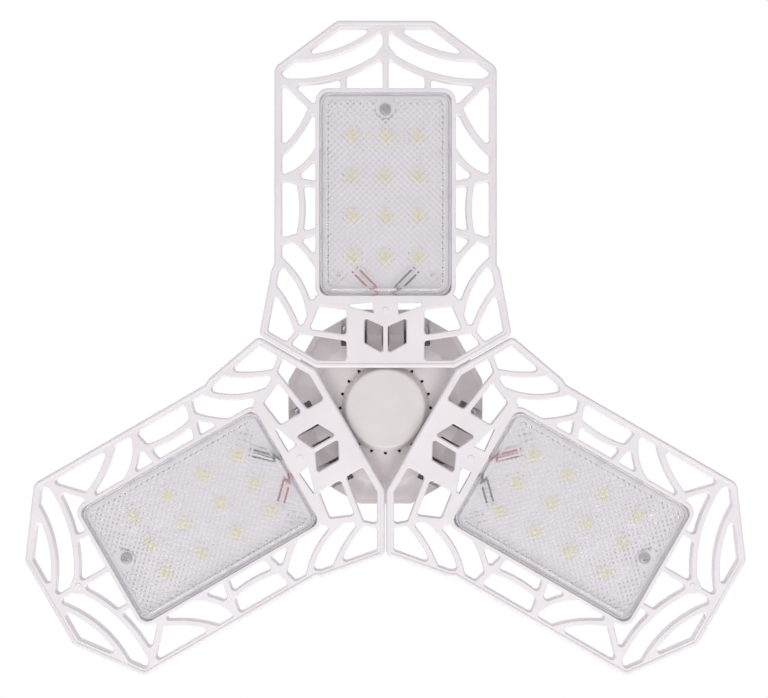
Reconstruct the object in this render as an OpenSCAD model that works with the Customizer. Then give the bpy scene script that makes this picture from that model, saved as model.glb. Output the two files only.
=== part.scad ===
// Ceiling light with three folding panels on a hub that screws into a lamp socket.
// The origin is where the screw cap meets the neck. +Z points up into the socket and the panels hang below.
// A panel is drawn pointing along +Y: x runs across it and y is the distance from the lamp's axis.

/* [Screw cap] */
// Radius of the smooth skirt below the thread
skirt_r = 13.3; // [13.25:0.05:13.5]
// Height of the smooth skirt
skirt_h = 5; // [4:0.5:6]
// Height of the threaded part of the shell
thread_h = 14.5; // [12:0.5:16]
// Distance between two turns of the thread
thread_pitch = 3.629; // [3.5:0.001:3.7]
// Height of the insulator between the shell and the contact
insulator_h = 4.5; // [3.5:0.5:6]

/* [Hub] */
// Radius of the round neck
neck_r = 17; // [16:0.5:19]
// Height of the round neck
neck_h = 20; // [18:1:22]
// Distance from the axis to a flat of the hub's rim
rim_flat = 45.5; // [45:0.1:45.8]
// Distance from the axis to a flat of the lip behind the rim
lip_flat = 43; // [42:0.2:43.6]
// Distance from the axis to a flat of the front face
face_flat = 33.5; // [32.5:0.25:34.5]
// Distance from the axis to a flat of the back, just below the neck
back_flat = 28; // [26:0.5:30]
// Depth of the front face below the cap's shoulder
face_depth = 66; // [65.5:0.1:66.5]
// Wall thickness of the two housings
hub_wall = 2.2; // [1.8:0.1:2.6]
// Radius of the round centre cap
cap_r = 18.7; // [18:0.1:19.2]
// How far the centre cap stands out of the face
cap_rise = 4; // [3:0.2:4.4]
// Number of vent slots around the centre cap
vent_count = 20; // [12:1:24]

/* [Panels] */
// Distance from the axis to a panel's inner edge
inner_r = 18.5; // [18:0.1:19.5]
// Distance from the axis to a panel's outer edge
outer_r = 175; // [172:1:180]
// Half the width of the inner edge
inner_x = 31.4; // [30:0.2:31.4]
// Half the width where the panel is widest
wide_x = 57; // [55:0.2:57]
// Half the width of the straight sides
side_x = 50.2; // [49.5:0.1:51]
// Half the width of the outer edge
outer_x = 21.8; // [20:0.2:24]
// Thickness of the web and its rim
plate_t = 4; // [3:0.2:4.2]
// Width of the rim around the web
rim_w = 3.5; // [3:0.1:4]
// Width of a rib of the web
rib_w = 2.9; // [2.4:0.1:3.2]
// Radius that fills the corners of the web's openings
web_fillet = 1.3; // [0.6:0.1:1.6]

/* [Tray and lens] */
// Width of the tray that holds the light board
tray_w = 63.4; // [62:0.2:64]
// Length of the tray
tray_l = 95.5; // [94:0.5:96]
// Depth of the tray from the panel's front
tray_d = 8; // [7.6:0.1:8.2]
// Wall thickness of the tray
tray_wall = 2.1; // [1.8:0.1:2.2]
// How far the lens stands in front of the web
lens_rise = 2; // [1:0.2:2.4]
// Width of the sloped band around the lens
lens_slope = 2.7; // [2:0.1:3]
// Distance between two columns of light chips
chip_step_x = 14.9; // [13:0.1:16]
// Distance between two rows of light chips
chip_step_y = 18.1; // [16:0.1:19]

/* [Hinges] */
// Distance from the lamp's axis to a hinge axis
hinge_r = 35; // [34.9:0.05:35.2]
// Distance from the panel's front to its hinge axis
hinge_d = 16.5; // [16.4:0.05:16.7]
// Radius of an ear around the hinge axis
ear_r = 5; // [4.6:0.1:5.2]
// Radius of a hinge screw
screw_r = 1.5; // [1.4:0.05:1.6]

/* [Hidden] */
$fn = 48;
small = 0.01;
panel_gap = 1;
panel_turn = 120;
seam_depth = 50;
rim_top_depth = 48;
lip_depth = 54;
shoulder_depth = 22;
chamfer_depth = 41;
chamfer_flat = 38.5;
face_z = -face_depth;
seam_z = -seam_depth;
cap_top_z = face_z - cap_rise;
plate_back_z = cap_top_z - panel_gap;
front_z = plate_back_z - plate_t;
hinge_z = front_z + hinge_d;
pocket_z = seam_z - 2;
pocket_r = 28.4;
pocket_x = 20.6;
pocket_wall = 2;
guide_x = 8.4;
guide_slot_x = 1.7;
ear_in = 15.1;
ear_out = 17.6;
lug_in = 11.6;
lug_out = 15;
head_t = 2;
nut_t = 2.4;
nut_flat = 2.75;
running_gap = 0.05;
face_gap = 0.1;

web_corner = 4.5;
wide_corner = 3;
tray_x = tray_w / 2;
tray_out = 144.6;
tray_in = tray_out - tray_l;
tray_mid = (tray_in + tray_out) / 2;
tray_back_z = front_z + tray_d;
tray_floor_z = tray_back_z - 2;
tray_corner = 6;
lens_corner = 3.8;
window_w = tray_w - 2 * tray_wall;
window_l = tray_l - 2 * tray_wall;
board_t = 1.6;
board_z = tray_floor_z - board_t;
board_w = 56.4;
board_in = tray_in + tray_wall + 2.4;
board_out = tray_out - tray_wall - 1.2;
chip_rows = 4;
chip_cols = 3;
chip_side = 5;
chip_t = 1.1;
chip_mid = 95.7;
board_screw_y = 135.5;
screw_bite = 1.5;
post_x = 21.2;
post_y = 60.8;
post_r = 2.4;
lens_t = 1.6;
lens_back_z = front_z + 1.6;
lead_r = 0.6;
lead_x = 0.7;
lead_sides = 8;
lead_steps = 2;
exit_z = plate_back_z + 0.9;

driver_z = -38;
driver_r = 27;
driver_t = 1.6;
boss_r = 13.5;
boss_outer = 4.2;
boss_count = 3;
shell_wall = 0.9;

white = [0.93, 0.92, 0.92];
hub_white = [0.86, 0.84, 0.84];
clear = [0.86, 0.87, 0.9, 0.45];
steel = [0.62, 0.62, 0.64];
nickel = [0.78, 0.77, 0.74];
black = [0.08, 0.08, 0.08];
red = [0.72, 0.1, 0.1];
board_white = [0.9, 0.9, 0.88];
board_green = [0.14, 0.36, 0.22];
chip_yellow = [0.95, 0.9, 0.62];

// The web's ribs on one side, each an arc through three points [across, out]
web_arcs = [
    [[2, 172.5], [19, 162], [side_x - 5, 158.4]],
    [[0, 161], [19, 150.9], [side_x - 2, 147.9]],
    [[tray_x + 1, 138], [38, 126.5], [side_x - 2, 114.6]],
    [[tray_x - 1, 117], [37.6, 108.6], [side_x - 2, 103.6]],
    [[39.3, 104], [37.5, 90.9], [39.8, 75]],
    [[side_x - 3, 67], [39.2, 57.4], [34.4, 44]],
    [[side_x + 1, 56], [44.6, 46.6], [39.6, 35]],
    [[41.5, 77], [36.4, 72.2], [tray_x - 1, 64.4]]
];

// The web's straight ribs on one side, each [start, end, width]
web_bars = [
    [[19, 151], [19, 143], rib_w],
    [[side_x - 2, 150.4], [tray_x + 1, 135.6], rib_w],
    [[tray_x - 1, 101], [side_x - 2, 104.6], rib_w + 0.3],
    [[tray_x - 1, 80.2], [side_x - 2, 75], rib_w + 0.4],
    [[30.4, 49.6], [36.4, 35.6], rib_w + 0.5],
    [[16, 46.6], [32, 48.8], 4.4],
    [[16, 31.8], [39.5, 35.4], rib_w],
    [[38.6, 36], [46.4, 26.6], rib_w - 0.5]
];

function square_of(p) = p.x * p.x + p.y * p.y;

// Centre of the circle through three points, where two perpendicular bisectors cross
function circle_centre(a, m, b) =
    let (d = 2 * (a.x * (m.y - b.y) + m.x * (b.y - a.y) + b.x * (a.y - m.y)))
    [
        (square_of(a) * (m.y - b.y) + square_of(m) * (b.y - a.y) + square_of(b) * (a.y - m.y)) / d,
        (square_of(a) * (b.x - m.x) + square_of(m) * (a.x - b.x) + square_of(b) * (m.x - a.x)) / d
    ];

function bearing(c, p) = atan2(p.y - c.y, p.x - c.x);
function short_turn(t) = t > 180 ? t - 360 : t < -180 ? t + 360 : t;

// Points of a flat band of width w along the arc through a, m and b
function arc_band(a, m, b, w, steps = 9) =
    let (
        c = circle_centre(a, m, b),
        r = norm(a - c),
        start = bearing(c, a),
        sweep = short_turn(bearing(c, m) - start) + short_turn(bearing(c, b) - bearing(c, m)),
        turn = [for (i = [0:steps]) start + sweep * i / steps],
        back = [for (i = [steps:-1:0]) turn[i]]
    )
    concat(
        [for (t = turn) c + (r + w / 2) * [cos(t), sin(t)]],
        [for (t = back) c + (r - w / 2) * [cos(t), sin(t)]]
    );

// Points of the corner b between its neighbours a and c, rounded to the radius in its third number
function rounded_corner(a, b, c, steps = 6) =
    let (
        corner = [b.x, b.y],
        back = unit([a.x, a.y] - corner),
        on = unit([c.x, c.y] - corner),
        half_open = acos(back * on) / 2,
        centre = corner + unit(back + on) * b.z / sin(half_open),
        start = bearing(centre, corner + back * b.z / tan(half_open)),
        sweep = short_turn(bearing(centre, corner + on * b.z / tan(half_open)) - start)
    )
    b.z == 0 ? [corner] : [
        for (i = [0:steps])
            centre + b.z * [cos(start + sweep * i / steps), sin(start + sweep * i / steps)]
    ];

module arc_rib(points, w) {
    polygon(arc_band(points[0], points[1], points[2], w));
}

module bar_rib(a, b, w) {
    run = (b - a) / norm(b - a);
    side = [-run.y, run.x] * w / 2;
    polygon([a + side, b + side, b - side, a - side]);
}

module both_sides() {
    children();
    mirror([1, 0, 0]) children();
}

module on_panel(index) {
    rotate([0, 0, panel_turn * index]) children();
}

// A rectangle with round corners, made of straight pieces and circles
module round_rect(w, l, r) {
    square([w - 2 * r, l], center = true);
    square([w, l - 2 * r], center = true);
    for (sx = [-1, 1], sy = [-1, 1]) translate([sx * (w / 2 - r), sy * (l / 2 - r)]) circle(r);
}

// A slab of the given outline between two heights
module slab(z_low, z_high) {
    translate([0, 0, z_low]) linear_extrude(z_high - z_low) children();
}

// A twelve-sided cone whose flats face the panels
module facet_cone(z_low, z_high, flat_low, flat_high) {
    corner = cos(15);
    translate([0, 0, z_low]) rotate([0, 0, 15])
        cylinder(h = z_high - z_low, r1 = flat_low / corner, r2 = flat_high / corner, $fn = 12);
}

// A rod along x between two places, on the hinge axis
module hinge_rod(x_from, x_to, r) {
    translate([x_from, hinge_r, hinge_z]) rotate([0, 90, 0]) cylinder(h = x_to - x_from, r = r);
}

// A plate across x with a round end about the hinge axis and a foot at another height
module hinge_plate(x_from, x_to, end_r, foot_half, foot_z) {
    translate([x_from, 0, 0]) rotate([90, 0, 90]) linear_extrude(x_to - x_from) {
        translate([hinge_r, hinge_z]) circle(end_r);
        polygon([
            [hinge_r - end_r * 0.97, hinge_z],
            [hinge_r + end_r * 0.97, hinge_z],
            [hinge_r + foot_half, foot_z],
            [hinge_r - foot_half, foot_z]
        ]);
    }
}

// Points of a smooth curve through the points of a route
function curve_point(p, i, t) =
    let (
        a = p[max(i - 1, 0)],
        b = p[i],
        c = p[min(i + 1, len(p) - 1)],
        d = p[min(i + 2, len(p) - 1)]
    )
    0.5 * (2 * b + (c - a) * t + (2 * a - 5 * b + 4 * c - d) * t * t + (3 * b - a - 3 * c + d) * t * t * t);

function curve(p) = concat(
    [for (i = [0:len(p) - 2], k = [0:lead_steps - 1]) curve_point(p, i, k / lead_steps)],
    [p[len(p) - 1]]
);

function unit(v) = v / norm(v);

// A round lead swept along a route that never runs straight across the panel
module lead(route, r = lead_r) {
    path = curve(route);
    last = len(path) - 1;
    rings = [
        for (i = [0:last])
            let (
                along = unit(path[min(i + 1, last)] - path[max(i - 1, 0)]),
                up = unit(cross(along, [1, 0, 0])),
                across = cross(up, along)
            )
            for (k = [0:lead_sides - 1])
                path[i] + r * (cos(360 * k / lead_sides) * across + sin(360 * k / lead_sides) * up)
    ];
    walls = [
        for (i = [0:last - 1], k = [0:lead_sides - 1])
            let (n = (k + 1) % lead_sides, a = i * lead_sides, b = a + lead_sides)
            each [[a + k, a + n, b + k], [a + n, b + n, b + k]]
    ];
    ends = [
        for (k = [1:lead_sides - 2])
            each [[0, k + 1, k], [last * lead_sides, last * lead_sides + k, last * lead_sides + k + 1]]
    ];
    polyhedron(rings, concat(walls, ends));
}

// Routes, given for the red lead. The black one is its mirror image.
lead_route = [
    [12, 60, board_z - 0.8],
    [9, 57, board_z - 1.1],
    [5.2, 54, board_z - 1],
    [3.2, 51.4, exit_z - 0.4],
    [2.2, 48, exit_z],
    [1.2, 44.6, exit_z],
    [lead_x, 41.4, exit_z + 0.2],
    [lead_x, 38.4, exit_z + 1.2],
    [lead_x, 36.4, exit_z + 3.4],
    [lead_x, 35.6, exit_z + 6.6],
    [lead_x, 35.2, hinge_z - 1.6]
];
feed_route = [
    [lead_x, 34.6, hinge_z + 0.6],
    [lead_x, 33.6, hinge_z + 2],
    [lead_x, 31.6, hinge_z + 3],
    [lead_x, 29, hinge_z + 3.2],
    [0.8, 25.6, hinge_z + 3.4],
    [2.6, 23, hinge_z + 5],
    [4.4, 21.4, hinge_z + 8],
    [5, 21, hinge_z + 11],
    [5, 21, driver_z - driver_t]
];
live_route = [
    [0, 0.2, skirt_h + thread_h + insulator_h - 3.4],
    [0, 1.4, 14],
    [0, 4.6, 2],
    [0, 7.4, -14],
    [0, 8, driver_z]
];
neutral_route = [
    [0, -10.2, 12.4],
    [0, -9.6, 11],
    [0, -7.8, 9.6],
    [0, -7.4, 6],
    [0, -7.4, -2],
    [0, -7.5, -14],
    [0, -8, driver_z]
];

// Outline of one panel. Its widest corners, beside the next panels, are the tightest.
module panel_outline() {
    half = [
        [inner_x, inner_r, web_corner],
        [wide_x, 33.3, wide_corner],
        [side_x + 1.4, 62.6, web_corner],
        [side_x, 65, 0],
        [side_x, 154, web_corner],
        [outer_x, outer_r, web_corner]
    ];
    last = len(half) - 1;
    whole = concat(half, [for (i = [last:-1:0]) [-half[i].x, half[i].y, half[i].z]]);
    count = len(whole);
    polygon([
        for (i = [0:count - 1])
            each rounded_corner(whole[(i + count - 1) % count], whole[i], whole[(i + 1) % count])
    ]);
}

// Two slanted windows between the hinge ears and the two slots at the tray's foot
module plate_windows() {
    round = 0.9;
    both_sides() {
        offset(r = round) offset(delta = -round)
            polygon([[1.2, 37.2], [9.4, 40.9], [9.4, 29.8], [1.2, 25.4]]);
        offset(r = round / 2) offset(delta = -round / 2)
            polygon([[5.4, 42.6], [5.4, 48.2], [17, 47.8], [16.2, 46.2]]);
    }
}

module panel_web() {
    centre_plate_x = 17.6;
    difference() {
        intersection() {
            panel_outline();
            offset(r = -web_fillet, $fn = 16) offset(delta = web_fillet) {
                difference() {
                    panel_outline();
                    offset(delta = -rim_w) panel_outline();
                }
                both_sides() {
                    for (arc = web_arcs) arc_rib(arc, rib_w);
                    for (bar = web_bars) bar_rib(bar[0], bar[1], bar[2]);
                }
                bar_rib([0, outer_r - 1], [0, tray_out - 1], rib_w);
                polygon([[0, 166], [4.6, 159.6], [0, 155], [-4.6, 159.6]]);
                translate([0, tray_mid]) round_rect(tray_w - 1, tray_l - 1, tray_corner);
                translate([-centre_plate_x, inner_r + 1]) square([2 * centre_plate_x, tray_in + 2 - inner_r]);
            }
        }
        plate_windows();
    }
}

module panel_frame() color(white) {
    difference() {
        union() {
            slab(front_z, plate_back_z) panel_web();
            translate([0, tray_mid, 0]) slab(front_z, tray_back_z) round_rect(tray_w, tray_l, tray_corner);
            both_sides() hinge_plate(ear_in, ear_out, ear_r, ear_r + 0.5, plate_back_z - 1);
        }
        translate([0, tray_mid, 0]) slab(front_z - 1, tray_floor_z)
            round_rect(window_w, window_l, lens_corner);
        hinge_rod(-ear_out - 1, ear_out + 1, screw_r + running_gap);
        translate([-5, tray_in - 1, plate_back_z - 1]) cube([10, tray_wall + 2, 2.8]);
        translate([0, board_screw_y, tray_floor_z - 1]) cylinder(h = screw_bite + 1, r = screw_r);
    }
    both_sides() translate([post_x, post_y, board_z - 1.2]) cylinder(h = board_t + 2.2, r = post_r - 0.4);
    translate([0, tray_mid, 0]) cooling_fins();
}

// Low fins across the back of the tray
module cooling_fins() {
    fin_count = 7;
    fin_step = 7.5;
    fin_h = 2;
    fin_t = 1.8;
    fin_l = 64;
    fin_y = 4 - fin_l / 2;
    for (i = [0:fin_count - 1])
        translate([(i - (fin_count - 1) / 2) * fin_step - fin_t / 2, fin_y, tray_back_z - 1])
            cube([fin_t, fin_l, fin_h + 1]);
}

module light_board() color(board_white) difference() {
    translate([-board_w / 2, board_in, board_z]) cube([board_w, board_out - board_in, board_t]);
    translate([0, board_screw_y, board_z - 1]) cylinder(h = board_t + 2, r = 1.7);
    both_sides() translate([post_x, post_y, board_z - 1]) cylinder(h = board_t + 2, r = post_r);
}

module light_chips() color(chip_yellow) {
    for (i = [0:chip_cols - 1], j = [0:chip_rows - 1])
        translate([
            (i - (chip_cols - 1) / 2) * chip_step_x,
            chip_mid + (j - (chip_rows - 1) / 2) * chip_step_y,
            board_z - chip_t / 2
        ])
            cube([chip_side, chip_side, chip_t], center = true);
}

// A clear cover with sloped sides, hollow behind, and small snap tabs inside its edge
module lens() color(clear) {
    play = 0.3;
    w = window_w - play;
    l = window_l - play;
    top_w = w - 2 * lens_slope;
    top_l = l - 2 * lens_slope;
    rim_t = lens_back_z - front_z;
    translate([0, tray_mid, 0]) {
        difference() {
            union() {
                slab(front_z, lens_back_z) round_rect(w, l, lens_corner);
                translate([0, 0, front_z]) mirror([0, 0, 1])
                    linear_extrude(lens_rise, scale = [top_w / w, top_l / l], slices = 1)
                        round_rect(w, l, lens_corner, $fn = 32);
            }
            slab(front_z - lens_rise + lens_t, lens_back_z + 1)
                round_rect(top_w - 1.2, top_l - 1.2, lens_corner - 1);
        }
        for (sx = [-1, 1], y = [-19, 0, 19])
            translate([sx * (w / 2 - 1.7), y, lens_back_z + 0.6]) cube([1.6, 3, 2.4], center = true);
        translate([0, l / 2 - 1.7, lens_back_z + 0.6]) cube([3, 1.6, 2.4], center = true);
    }
}

// A pan head screw with a cross recess, pointing up into the tray floor
module board_screw() color(steel) {
    head_r = 2.7;
    head_h = 1.6;
    translate([0, board_screw_y, board_z]) {
        difference() {
            translate([0, 0, -head_h]) cylinder(h = head_h, r1 = head_r - 0.5, r2 = head_r);
            for (a = [0, 90]) rotate([0, 0, a]) translate([0, 0, -head_h])
                cube([3, 0.7, 1.4], center = true);
        }
        cylinder(h = board_t + screw_bite, r = screw_r);
    }
}

module red_lead() color(red) lead(lead_route);
module black_lead() color(black) mirror([1, 0, 0]) lead(lead_route);
module red_feed() color(red) lead(feed_route);
module black_feed() color(black) mirror([1, 0, 0]) lead(feed_route);

module hinge_screws() color(steel) both_sides() {
    head_in = ear_out + face_gap;
    hinge_rod(lug_in - nut_t - 0.6, head_in, screw_r);
    difference() {
        hinge_rod(head_in, head_in + head_t, 2.8);
        for (a = [0, 90])
            translate([head_in + head_t, hinge_r, hinge_z]) rotate([a, 0, 0])
                cube([1.6, 3.2, 0.7], center = true);
    }
}

module hinge_nuts() color(steel) both_sides() difference() {
    translate([lug_in - nut_t, hinge_r, hinge_z]) rotate([0, 90, 0])
        cylinder(h = nut_t, r = nut_flat / cos(30), $fn = 6);
    hinge_rod(lug_in - nut_t - 1, lug_in + 1, screw_r);
}

// The hub's outer form below the seam, with its lip. The cone runs on into the rim.
module lower_form() {
    run_in = 1;
    slope = (lip_flat - face_flat) / (face_depth - lip_depth);
    facet_cone(face_z, -lip_depth + run_in, face_flat, lip_flat + slope * run_in);
    facet_cone(-lip_depth, seam_z, rim_flat, rim_flat);
}

// The room cut out for one hinge. Two blocks stay in its middle and guide the leads through the slot between them.
module hinge_pocket() {
    pocket_l = 40;
    pocket_h = pocket_z - face_z + 1;
    hole_h = 2.4;
    hole_rise = 3.3;
    difference() {
        translate([-pocket_x, pocket_r, face_z - 1]) cube([2 * pocket_x, pocket_l, pocket_h]);
        both_sides() translate([guide_slot_x, pocket_r - 1, face_z - 2])
            cube([guide_x - guide_slot_x, pocket_l + 2, pocket_h + 2]);
    }
    translate([-guide_slot_x, pocket_r - pocket_wall - 1, hinge_z + hole_rise - hole_h / 2])
        cube([2 * guide_slot_x, pocket_wall + 2, hole_h]);
}

module lower_housing() color(hub_white) {
    vent_r = 20.3;
    difference() {
        lower_form();
        difference() {
            facet_cone(face_z + hub_wall, seam_z + 1, face_flat - 0.9, rim_flat - 2.2);
            for (i = [0:2]) on_panel(i)
                translate([-pocket_x - pocket_wall, pocket_r - pocket_wall, face_z])
                    cube([2 * (pocket_x + pocket_wall), 40, face_depth]);
        }
        for (i = [0:2]) on_panel(i) hinge_pocket();
        for (i = [0:vent_count - 1]) rotate([0, 0, i * 360 / vent_count])
            translate([0, vent_r, face_z - 1]) linear_extrude(hub_wall + 2)
                round_rect(1.3, 2.2, 0.6, $fn = 16);
        for (i = [0:boss_count - 1]) rotate([0, 0, 60 + i * 120])
            translate([0, boss_r, face_z - 1]) cylinder(h = hub_wall + 2, r = screw_r + 0.1);
    }
    for (i = [0:2]) on_panel(i) both_sides() difference() {
        hinge_plate(lug_in, lug_out, ear_r - 0.4, ear_r + 0.6, pocket_z + 1);
        hinge_rod(lug_in - 1, lug_out + 1, screw_r);
    }
}

// The hub's outer form above the seam, up to the round neck
module upper_form(inset) {
    facet_cone(seam_z - (inset > 0 ? small : 0), -rim_top_depth, rim_flat - inset, rim_flat - inset);
    facet_cone(-rim_top_depth, -chamfer_depth, rim_flat - inset, chamfer_flat - inset);
    facet_cone(-chamfer_depth, -shoulder_depth - inset, chamfer_flat - inset, back_flat - inset);
}

module upper_housing() color(hub_white) {
    slot_l = 11;
    plug_r = skirt_r - shell_wall - 1.4;
    ceiling_z = -shoulder_depth - hub_wall;
    difference() {
        union() {
            upper_form(0);
            rotate_extrude($fn = 72) polygon([
                [0, -shoulder_depth - 1],
                [neck_r + 5, -shoulder_depth - 1],
                [neck_r + 5, -shoulder_depth],
                [neck_r + 1.6, -shoulder_depth + 1.6],
                [neck_r, -neck_h + 3],
                [neck_r, -3],
                [skirt_r + 1, 0],
                [plug_r, 0],
                [plug_r, skirt_h + 4],
                [0, skirt_h + 4]
            ]);
        }
        upper_form(hub_wall);
        translate([0, 0, ceiling_z - 1]) cylinder(h = -1 - ceiling_z, r = neck_r - 2.4);
        translate([0, 0, -4]) cylinder(h = skirt_h + 10, r = plug_r - 2);
        for (i = [0:11]) rotate([0, 0, 30 * i]) translate([0, 20, -32]) rotate([-90, 0, 0])
            linear_extrude(25) round_rect(3, slot_l, 1.4, $fn = 24);
    }
    for (i = [0:boss_count - 1]) rotate([0, 0, 60 + i * 120]) translate([0, boss_r, 0]) difference() {
        union() {
            translate([0, 0, driver_z]) cylinder(h = ceiling_z - driver_z + 1, r = boss_outer);
            translate([0, 0, face_z + hub_wall]) cylinder(h = driver_z - face_z, r = boss_outer - 1.4);
        }
        translate([0, 0, face_z + hub_wall - 1]) cylinder(h = 14, r = screw_r);
    }
}

// A shallow round cover with a soft edge, hollow behind for the screw heads
module centre_cap() color(hub_white) {
    edge = 1.2;
    base_r = cap_r + 0.5;
    wall = 1.6;
    round_edge = [
        for (a = [0:15:90]) [cap_r - edge + edge * cos(a), cap_top_z + edge - edge * sin(a)]
    ];
    rotate_extrude($fn = 96) polygon(concat(
        [[cap_r - wall, face_z], [base_r, face_z]],
        round_edge,
        [[0, cap_top_z], [0, cap_top_z + wall], [cap_r - wall - 0.4, cap_top_z + wall]]
    ));
}

module housing_screws() color(steel) for (i = [0:boss_count - 1]) rotate([0, 0, 60 + i * 120])
    translate([0, boss_r, face_z]) {
        translate([0, 0, -1.8]) cylinder(h = 1.8, r1 = 2.1, r2 = 2.6);
        cylinder(h = 12, r = screw_r);
    }

module driver_board() color(board_green) difference() {
    translate([0, 0, driver_z - driver_t]) cylinder(h = driver_t, r = driver_r);
    for (i = [0:boss_count - 1]) rotate([0, 0, 60 + i * 120])
        translate([0, boss_r, driver_z - driver_t - 1]) cylinder(h = driver_t + 2, r = boss_outer - 1.2);
}

module filter_capacitor() color(black) translate([-8, -4.5, driver_z]) {
    can_r = 5;
    can_h = 22;
    rotate_extrude() polygon([
        [0, 0], [can_r, 0], [can_r, 1.6], [can_r - 0.4, 2], [can_r, 2.4],
        [can_r, can_h - 0.6], [can_r - 0.6, can_h], [0, can_h]
    ]);
}

// A winding on a round ferrite core
module choke() color([0.55, 0.3, 0.12]) translate([11, -3, driver_z]) {
    turns = 12;
    core_r = 5;
    cylinder(h = 3, r = 4);
    translate([0, 0, 7.4]) rotate([90, 0, 0]) rotate_extrude()
        translate([core_r - 1, 0]) square([2.4, 4.4], center = true);
    for (i = [0:turns - 1]) translate([0, 0, 7.4]) rotate([0, 30 * i, 0]) translate([core_r - 1, 0, 0])
        cube([3.4, 5.4, 0.9], center = true);
}

module rectifier_chips() color(black) {
    for (p = [[0, 18], [-9, -16], [9, -16]])
        translate([p.x, p.y, driver_z + 1.1]) cube([5, 4, 2.2], center = true);
}

module live_lead() color(red) lead(live_route, 0.8);
module neutral_lead() color(black) lead(neutral_route, 0.8);

// A wavy shell: an off-centre circle wound up at the thread's pitch
module screw_shell() color(nickel) {
    wave = 0.55;
    thread_mid_r = 12.62;
    steps_per_turn = 12;
    turns = thread_h / thread_pitch;
    difference() {
        union() {
            cylinder(h = skirt_h, r = skirt_r, $fn = 96);
            translate([0, 0, skirt_h - 0.4])
                linear_extrude(thread_h + 0.4, twist = -360 * turns, slices = round(steps_per_turn * turns))
                    translate([wave, 0]) circle(thread_mid_r, $fn = 28);
        }
        translate([0, 0, -1]) cylinder(h = skirt_h + thread_h - 0.2, r = skirt_r - shell_wall - 1.2);
        translate([0, 0, skirt_h + thread_h - 2]) cylinder(h = 3, r = 9.4);
    }
}

module cap_insulator() color(black) translate([0, 0, skirt_h + thread_h]) difference() {
    cylinder(h = insulator_h, r1 = 10.6, r2 = 5.2, $fn = 72);
    translate([0, 0, -1]) cylinder(h = insulator_h + 2, r = 2);
}

module contact_tip() color(nickel) translate([0, 0, skirt_h + thread_h + insulator_h]) {
    tip_r = 4.6;
    dome = 1.6;
    ball_r = (tip_r * tip_r + dome * dome) / (2 * dome);
    rotate_extrude($fn = 72) difference() {
        union() {
            intersection() {
                translate([0, dome - ball_r]) circle(ball_r, $fn = 160);
                square([tip_r, dome]);
            }
            translate([0, -3]) square([1.9, 3.2]);
        }
        translate([-9, -9]) square([9, 18]);
    }
}

contact_tip();
cap_insulator();
screw_shell();
upper_housing();
lower_housing();
centre_cap();
housing_screws();
driver_board();
filter_capacitor();
choke();
rectifier_chips();
live_lead();
neutral_lead();
on_panel(0) panel_frame();  // panel_frame_a
on_panel(1) panel_frame();  // panel_frame_b
on_panel(2) panel_frame();  // panel_frame_c
on_panel(0) light_board();  // light_board_a
on_panel(1) light_board();  // light_board_b
on_panel(2) light_board();  // light_board_c
on_panel(0) light_chips();  // light_chips_a
on_panel(1) light_chips();  // light_chips_b
on_panel(2) light_chips();  // light_chips_c
on_panel(0) lens();  // lens_a
on_panel(1) lens();  // lens_b
on_panel(2) lens();  // lens_c
on_panel(0) board_screw();  // board_screw_a
on_panel(1) board_screw();  // board_screw_b
on_panel(2) board_screw();  // board_screw_c
on_panel(0) red_lead();  // red_lead_a
on_panel(1) red_lead();  // red_lead_b
on_panel(2) red_lead();  // red_lead_c
on_panel(0) black_lead();  // black_lead_a
on_panel(1) black_lead();  // black_lead_b
on_panel(2) black_lead();  // black_lead_c
on_panel(0) red_feed();  // red_feed_a
on_panel(1) red_feed();  // red_feed_b
on_panel(2) red_feed();  // red_feed_c
on_panel(0) black_feed();  // black_feed_a
on_panel(1) black_feed();  // black_feed_b
on_panel(2) black_feed();  // black_feed_c
on_panel(0) hinge_screws();  // hinge_screws_a
on_panel(1) hinge_screws();  // hinge_screws_b
on_panel(2) hinge_screws();  // hinge_screws_c
on_panel(0) hinge_nuts();  // hinge_nuts_a
on_panel(1) hinge_nuts();  // hinge_nuts_b
on_panel(2) hinge_nuts();  // hinge_nuts_c
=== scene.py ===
from math import acos, copysign, cos, pi, radians, sin, sqrt, tan

import bmesh
import bpy
import numpy as np
from mathutils import Matrix, Vector
from mathutils.geometry import delaunay_2d_cdt


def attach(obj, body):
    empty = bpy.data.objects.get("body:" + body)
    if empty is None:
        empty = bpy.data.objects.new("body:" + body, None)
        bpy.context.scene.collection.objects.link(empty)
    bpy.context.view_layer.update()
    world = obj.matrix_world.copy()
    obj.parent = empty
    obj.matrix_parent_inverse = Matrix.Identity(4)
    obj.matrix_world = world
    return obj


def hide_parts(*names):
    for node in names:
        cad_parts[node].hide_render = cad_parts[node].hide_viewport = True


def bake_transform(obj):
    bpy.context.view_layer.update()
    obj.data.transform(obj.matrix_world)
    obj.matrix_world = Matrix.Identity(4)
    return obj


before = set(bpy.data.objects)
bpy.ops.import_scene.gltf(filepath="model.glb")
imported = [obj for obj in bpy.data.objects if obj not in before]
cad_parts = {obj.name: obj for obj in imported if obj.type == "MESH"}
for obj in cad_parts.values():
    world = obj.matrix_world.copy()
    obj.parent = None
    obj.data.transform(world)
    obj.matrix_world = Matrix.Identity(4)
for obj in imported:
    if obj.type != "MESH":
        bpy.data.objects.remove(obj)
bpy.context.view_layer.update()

# All shapes below are worked out in millimetres in the frame of the lamp, and become metres in rawPiece.
# The lamp's axis is Z, the screw cap points up, and panel "a" points along +Y. Panels "b" and "c" are turned copies.
millimetre = 0.001
panels = {"a": 0, "b": 120, "c": 240}


# Helpers for colours, nodes and meshes

def colour(hexText):
    # sRGB hex to the linear values that Blender's sockets take
    channels = [int(hexText[i:i + 2], 16) / 255 for i in (1, 3, 5)]
    return [c / 12.92 if c <= 0.04045 else ((c + 0.055) / 1.055) ** 2.4 for c in channels] + [1.0]


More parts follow.
